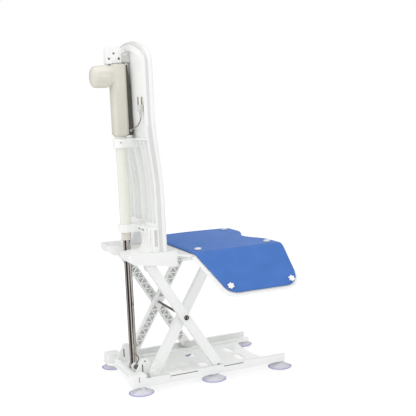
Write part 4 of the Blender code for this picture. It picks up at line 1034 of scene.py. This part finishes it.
rod_radius = lengths("piston_rod").x / 2
rod_length = lengths("piston_rod").z
sleeve("column_tube", "actuator_tube", TUBE_BORE)
sleeve("column_bush", "rod_bush", rod_radius + BUSH_GAP)
section = [(0, 0), (rod_radius - 2 * EDGE_ROUND, 0), (rod_radius, 2 * EDGE_ROUND)]
for up in (GROOVE_UP, GROOVE_UP + GROOVE_PITCH):
    section += [(rod_radius, up), (rod_radius - GROOVE_DEPTH, up + EDGE_ROUND / 2)]
    section += [(rod_radius - GROOVE_DEPTH, up + 2 * EDGE_ROUND), (rod_radius, up + 2.5 * EDGE_ROUND)]
section += [(rod_radius, rod_length), (0, rod_length)]
dress(spun("polished_rod", section, under("piston_rod"), "Z", 64), "piston_rod")
print("rod is", round(rod_length, 3), "m long with", len(section), "points in its section")

# %% [markdown]
# ## Suction cups
# Each cup is a thin bell that flattens towards its lip, under a short neck. Its section runs
# down the outside and back up the inside. After the spin, every point stores how near the
# lip it is, which the cup's finish reads.

# %% Suction cups
CUP_NECK = 0.010
CUP_WALL = 0.0016
LIP_EDGE = 0.0012
LIP_STEPS = 10
BELL_START = 1.6 * CUP_NECK
BELL_RISE = 0.66
BELL_CURVE = 1.25
HOLLOW_RISE = 0.82
NECK_SHARE = 0.82
HOLLOW_NECK = 1.4 * CUP_NECK
HOLLOW_TOP = 0.46
CUPS = [name for name in frame["nodes"] if name.startswith("suction_cup")]
cup_radius = lengths("suction_cup_rear_left").x / 2
cup_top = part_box("suction_cup_rear_left")[1].z
outside = []
inside = []
for share in (step / LIP_STEPS for step in range(LIP_STEPS + 1)):
    out = BELL_START + (cup_radius - BELL_START) * share
    fall = BELL_RISE * cup_top * (1 - share) ** BELL_CURVE
    outside.append((out, CUP_WALL * (1 - share) + fall + LIP_EDGE * share))
    inside.append((out - CUP_WALL, fall * HOLLOW_RISE))
section = [(0, cup_top), (CUP_NECK, cup_top), (CUP_NECK, cup_top * NECK_SHARE)] + outside
section += list(reversed(inside))[:-1] + [(HOLLOW_NECK, cup_top * HOLLOW_TOP), (0, cup_top * HOLLOW_TOP)]
for name in CUPS:
    spot = under(name)
    cup = spun(name + "_vinyl", section, spot, "Z", 56, angle=50)
    reach = cup_radius - CUP_NECK
    store(cup, "rim", lambda point: max(0.0, ((point - spot).xy.length - CUP_NECK) / reach))
    dress(cup, name)
print("cups are", round(cup_radius * 2000), "mm wide and", round(cup_top * 1000, 1), "mm high")

# %% [markdown]
# ## Star studs
# Eight star-headed studs hold the cover down. One star is a circle of twelve points with
# every other point drawn towards the middle. Its tips are rounded with a vertex bevel, it is
# extruded, and its upper edges are eased. Copies are turned to stand square on the seat or
# on a drooping flap, where the solid studs are.

# %% Star studs
STAR_POINTS = 12
STAR_WAIST = 0.64
STAR_TALL = 0.0055
STAR_TIP = 0.0016
STAR_EASE = 0.0009
HEAD_DEPTH = 0.0003
star_radius = lengths("seat_stud_rear_left").x / 2
star = start_piece(bpy.ops.mesh.primitive_circle_add, "star", vertices=STAR_POINTS,
                   radius=star_radius, fill_type="NGON")
pick("VERT", lambda p: round(math.atan2(p.y, p.x) / (2 * math.pi) * STAR_POINTS) % 2 == 1)
bpy.ops.transform.resize(value=(STAR_WAIST, STAR_WAIST, 1), center_override=(0, 0, 0))
bpy.ops.mesh.select_all(action="SELECT")
bpy.ops.mesh.bevel(offset=STAR_TIP, segments=3, affect="VERTICES")
bpy.ops.mesh.select_all(action="SELECT")
bpy.ops.mesh.extrude_region_move(TRANSFORM_OT_translate={"value": (0, 0, STAR_TALL)})
pick("EDGE", lambda p: p.z > STAR_TALL * 0.99)
bpy.ops.mesh.bevel(offset=STAR_EASE, segments=3, affect="EDGES")
end_piece(40)
for name in STUDS:
    side = math.copysign(1, middle(name).x)
    lean = side * DROOP if name.startswith("flap") else 0
    up = Vector((math.sin(lean), 0, math.cos(lean)))
    heights = [(vert.co.dot(up), vert.co) for vert in frame["nodes"][name].data.vertices]
    top = max(height for height, place in heights)
    crown = [place for height, place in heights if height > top - HEAD_DEPTH]
    foot = sum(crown, Vector()) / len(crown) - up * STAR_TALL
    stud = copied(name + "_star", star.data)
    stud.data.transform(Matrix.Translation(foot) @ Matrix.Rotation(lean, 4, "Y"))
    dress(stud, name)
bpy.data.objects.remove(star)
print("studs:", len(STUDS), "of", round(star_radius * 2000), "mm")

# %% [markdown]
# ## Plug and gland
# The plug is one moulding with a ribbed sleeve that lets the lead bend, and two brass pins.
# The gland is a short ribbed cone.

# %% Plug and gland
PLUG_BODY = 0.042
PLUG_FOOT_RADIUS = 0.0032
PLUG_SHOULDER = [(0.0052, 0.0178), (0.0088, 0.0215), (0.0108, 0.0270), (0.0110, 0.0300),
                 (0.0110, 0.0380), (0.0102, 0.0410), (0.0085, PLUG_BODY), (0, PLUG_BODY)]
SLEEVE_RIBS = 4
RIB_FIRST = 0.0022
RIB_PITCH = 0.0040
RIB_WIDE = 0.0024
RIB_EDGE = 0.0005
RIB_PEAK = 0.0048
RIB_VALLEY = 0.0034
PLUG_PIN_RADIUS = 0.0022
PLUG_PIN_GAP = 0.006
PLUG_PIN_ROOT = 0.002
PLUG_PIN_BEND = 0.0018
GLAND_FLANGE = [(0, 0), (0.0044, 0), (0.0044, -0.0012)]
GLAND_PITCH = 0.0016
GLAND_WIDE = 0.0042
GLAND_TAPER = 0.22
GLAND_RIB = 0.0008
GLAND_CUT = 0.0007
GLAND_STEP = 0.0010
GLAND_TIP_RADIUS = 0.0026

section = [(0, 0), (PLUG_FOOT_RADIUS, 0)]
for up in (RIB_FIRST + RIB_PITCH * rib for rib in range(SLEEVE_RIBS)):
    section += [(RIB_VALLEY, up), (RIB_PEAK, up + RIB_EDGE)]
    section += [(RIB_PEAK, up + RIB_WIDE - RIB_EDGE), (RIB_VALLEY, up + RIB_WIDE)]
plug = dress(spun("plug_body", section + PLUG_SHOULDER, PLUG_FOOT, "Z", 40), "mains_plug")
pin_length = lengths("mains_plug").z - PLUG_BODY + PLUG_PIN_ROOT
section = [(0, 0), (PLUG_PIN_RADIUS, 0)] + quarter(PLUG_PIN_RADIUS, pin_length, PLUG_PIN_BEND, 4)
section += [(0, pin_length)]
for label, side in (("front", -1), ("rear", 1)):
    place = PLUG_FOOT + Vector((0, side * PLUG_PIN_GAP, PLUG_BODY - PLUG_PIN_ROOT))
    pin = spun("plug_pin_" + label, section, place, "Z", 24)
    dress(pin, slot="pin_brass", body=BODIES["mains_plug"])
gland_length = lengths("cord_gland").x
section = list(GLAND_FLANGE)
for along in (GLAND_PITCH * rib for rib in (1, 2, 3)):
    width = GLAND_WIDE - GLAND_TAPER * along
    section += [(width, -along), (width, -along - GLAND_RIB), (width - GLAND_CUT, -along - GLAND_STEP)]
section += [(GLAND_TIP_RADIUS, -gland_length), (0, -gland_length)]
gland_place = GLAND_TIP + Vector((gland_length, 0, 0))
dress(spun("gland_cone", section, gland_place, "X", 32), "cord_gland")

# %% [markdown]
# ## Fasteners
# Small turned heads finish the mechanism. A white dome covers each pivot pin, the centre
# bolts are dark rings round a bright core, and the axle and the clevis pin are turned from
# bar. One helper turns a head from its section on either side of the chair.

# %% Pivot caps and bolts
def head(name, spot, side, section, *nodes, axis="X", slot=None, body=None, ring=False):
    """A small turned head on a spot, facing the plus or minus side of an axis."""
    turned = [(radius, side * height) for radius, height in section]
    return dress(spun(name, turned, Vector(spot), axis, 28, ring), *nodes, slot=slot, body=body)


def dome(radius, height, depth):
    """The section of a domed cap that reaches a depth below its seat."""
    return [(0, height), (0.40 * radius, 0.95 * height), (0.75 * radius, 0.72 * height),
            (0.95 * radius, 0.35 * height), (radius, 0), (radius, -depth), (0, -depth)]


PIVOT_CAPS = {
    "base_pivot": (0.1405, dome(0.0088, 0.0020, 0.0100)),
    "seat_pivot": (0.1552, dome(0.0084, 0.0020, 0.0020)),
}
RING = [(0.0050, 0), (0.0085, 0), (0.0085, 0.0018), (0.0078, 0.0030), (0.0057, 0.0030), (0.0050, 0.0022)]
CORE = [(0, 0.0024), (0.0034, 0.0024), (0.0046, 0.0016), (0.0046, -0.001), (0, -0.001)]
AXLE_RADIUS = 0.0040
AXLE_EASE = 0.0006
CLEVIS_HEAD = [(0, 0.0014), (0.0036, 0.0014), (0.0044, 0), (0.0078, 0), (0.0085, 0.0007), (0.0085, 0.0040)]
CLEVIS_SHANK = 0.0060

for label, side in BOTH_SIDES:
    for pivot, (out, section) in PIVOT_CAPS.items():
        pin = f"{pivot}_pin_{label}"
        head(f"{pivot}_cap_{label}", (side * out, *middle(pin).yz), side, section,
             slot="white_plastic", body=BODIES[pin])
    bolt = "centre_bolt_" + label
    foot = min(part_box(bolt), key=lambda corner: abs(corner.x)).x
    spot = (foot, *middle(bolt).yz)
    head(bolt + "_ring", spot, side, RING, bolt, ring=True)
    head(bolt + "_core", spot, side, CORE, slot="chrome_rod", body=BODIES[bolt])
axle_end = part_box("centre_axle")[1].x
half_axle = [(AXLE_RADIUS, axle_end - AXLE_EASE), (AXLE_RADIUS - AXLE_EASE, axle_end), (0, axle_end)]
section = [(radius, -along) for radius, along in reversed(half_axle)] + half_axle
head("turned_axle", middle("centre_axle"), 1, section, "centre_axle")
pin_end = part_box("clevis_pin")[0].x
pin_length = lengths("clevis_pin").x
section = CLEVIS_HEAD + [(CLEVIS_SHANK, CLEVIS_HEAD[-1][1]), (CLEVIS_SHANK, pin_length), (0, pin_length)]
head("turned_clevis_pin", (pin_end, *middle("clevis_pin").yz), 1, section, "clevis_pin")
print("pivot caps, bolts, axle and clevis pin turned")

# %% [markdown]
# Dark socket screws hold the bracket, the collar, the gussets and the clamp. A table gives
# each kind's radius, the solid it holds, the axis it faces along and its spots on the left
# side, and a loop sets them on both sides.

# %% Screws
bracket_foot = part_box("top_bracket")[0].z
bracket_y = middle("top_bracket").y
BRACKET_SPOTS = [(0.0135, bracket_y + along, bracket_foot + up)
                 for along, up in ((-0.017, 0.017), (0, 0.034), (0.017, 0.017))]
SCREWS = {
    "bracket_screw": (0.0034, "top_bracket", "X", BRACKET_SPOTS),
    "collar_screw": (0.0022, "tube_collar", "X", [(0.0243, 0.2263, 0.8185)]),
    "gusset_screw": (0.0024, "rear_crossmember", "X", [(0.1058, 0.2120, 0.0870)]),
    "clamp_screw": (0.0030, "tube_clamp", "Y", [(0.046, 0.1858, 0.5285), (0.084, 0.1858, 0.5285)]),
}
SCREW_TOP = 0.0014
SCREW_RIM = 0.0008
SOCKET_FLOOR = 0.0004
SCREW_FOOT = -0.0015


def mirrored(spot, side):
    """A spot of the left side, kept there or moved to the right side."""
    return Vector((side * spot[0], spot[1], spot[2]))


def socket_screw(name, spot, side, radius, node, axis):
    """A dark screw with a round socket, on the body of the solid it holds."""
    section = [(0, SOCKET_FLOOR), (0.42 * radius, SOCKET_FLOOR), (0.48 * radius, SCREW_TOP),
               (0.80 * radius, SCREW_TOP), (radius, SCREW_RIM), (radius, SCREW_FOOT), (0, SCREW_FOOT)]
    return head(name, spot, side, section, axis=axis, slot="dark_steel", body=BODIES[node])


screws = []
for label, side in BOTH_SIDES:
    for kind, (radius, node, axis, places) in SCREWS.items():
        for count, spot in enumerate(places):
            name = f"{kind}_{label}_{count}" if len(places) > 1 else f"{kind}_{label}"
            facing = side if axis == "X" else 1
            screws.append(socket_screw(name, mirrored(spot, side), facing, radius, node, axis))
print("screws:", len(screws))

# %% [markdown]
# ## Painted shade in slots and gaps
# A few dark lines on the white parts are shade: in the slot in each gusset, in a short slot
# in each rear corner, along the seams of the rails, in a groove in each foot of the backrest and
# in the clamp's bar, and in the gap under the bracket. Each is painted as a thin slip of dark or
# grey plastic set into the white, so it is a plain block.

# %% Slips of painted shade
def shade_slip(name, low, high, node, slot="dark_casing"):
    """A thin block of painted shade between two corners, on the body of the solid it is set into."""
    block(name, low, high)
    return dress(end_piece(), slot=slot, body=BODIES[node])


# Each block paints the shade in a slot, seam, groove or gap; grooves take grey, the rest dark.
SHADE_SLIPS = {
    "gusset_slot": ((0.0990, 0.2188, 0.0470), (0.1046, 0.2232, 0.0770), "rear_crossmember"),
    "corner_slot": ((0.1640, 0.2534, 0.0385), (0.1664, 0.2556, 0.0560), "rear_crossmember"),
    "rail_seam_rear": ((0.1640, 0.0450, 0.0404), (0.1667, 0.1438, 0.0428), None),
    "rail_seam_front": ((0.1640, -0.1250, 0.0404), (0.1667, -0.0500, 0.0428), None),
    "foot_groove": ((0.1550, 0.1625, 0.4790), (0.1572, 0.1730, 0.5340), "backrest"),
    "clamp_groove": ((0.0340, 0.1840, 0.5238), (0.0985, 0.1861, 0.5332), "tube_clamp"),
}
# The gap under the bracket, above the housing, is painted as a dark slip of shade.
GAP_SHADE_LOW = (-0.0225, 0.1965, house_high.z - 0.0012)
GAP_SHADE_HIGH = (0.0225, 0.2400, house_high.z + 0.0014)
for name, (low, high, node) in SHADE_SLIPS.items():
    slot = "grey_plastic" if "groove" in name else "dark_casing"
    for label, side in BOTH_SIDES:
        shade_slip(f"{name}_{label}", mirrored(low, side), mirrored(high, side), node or "rail_" + label, slot)
shade_slip("housing_gap_shade", GAP_SHADE_LOW, GAP_SHADE_HIGH, "actuator_housing")
print("slips:", 2 * len(SHADE_SLIPS) + 1)
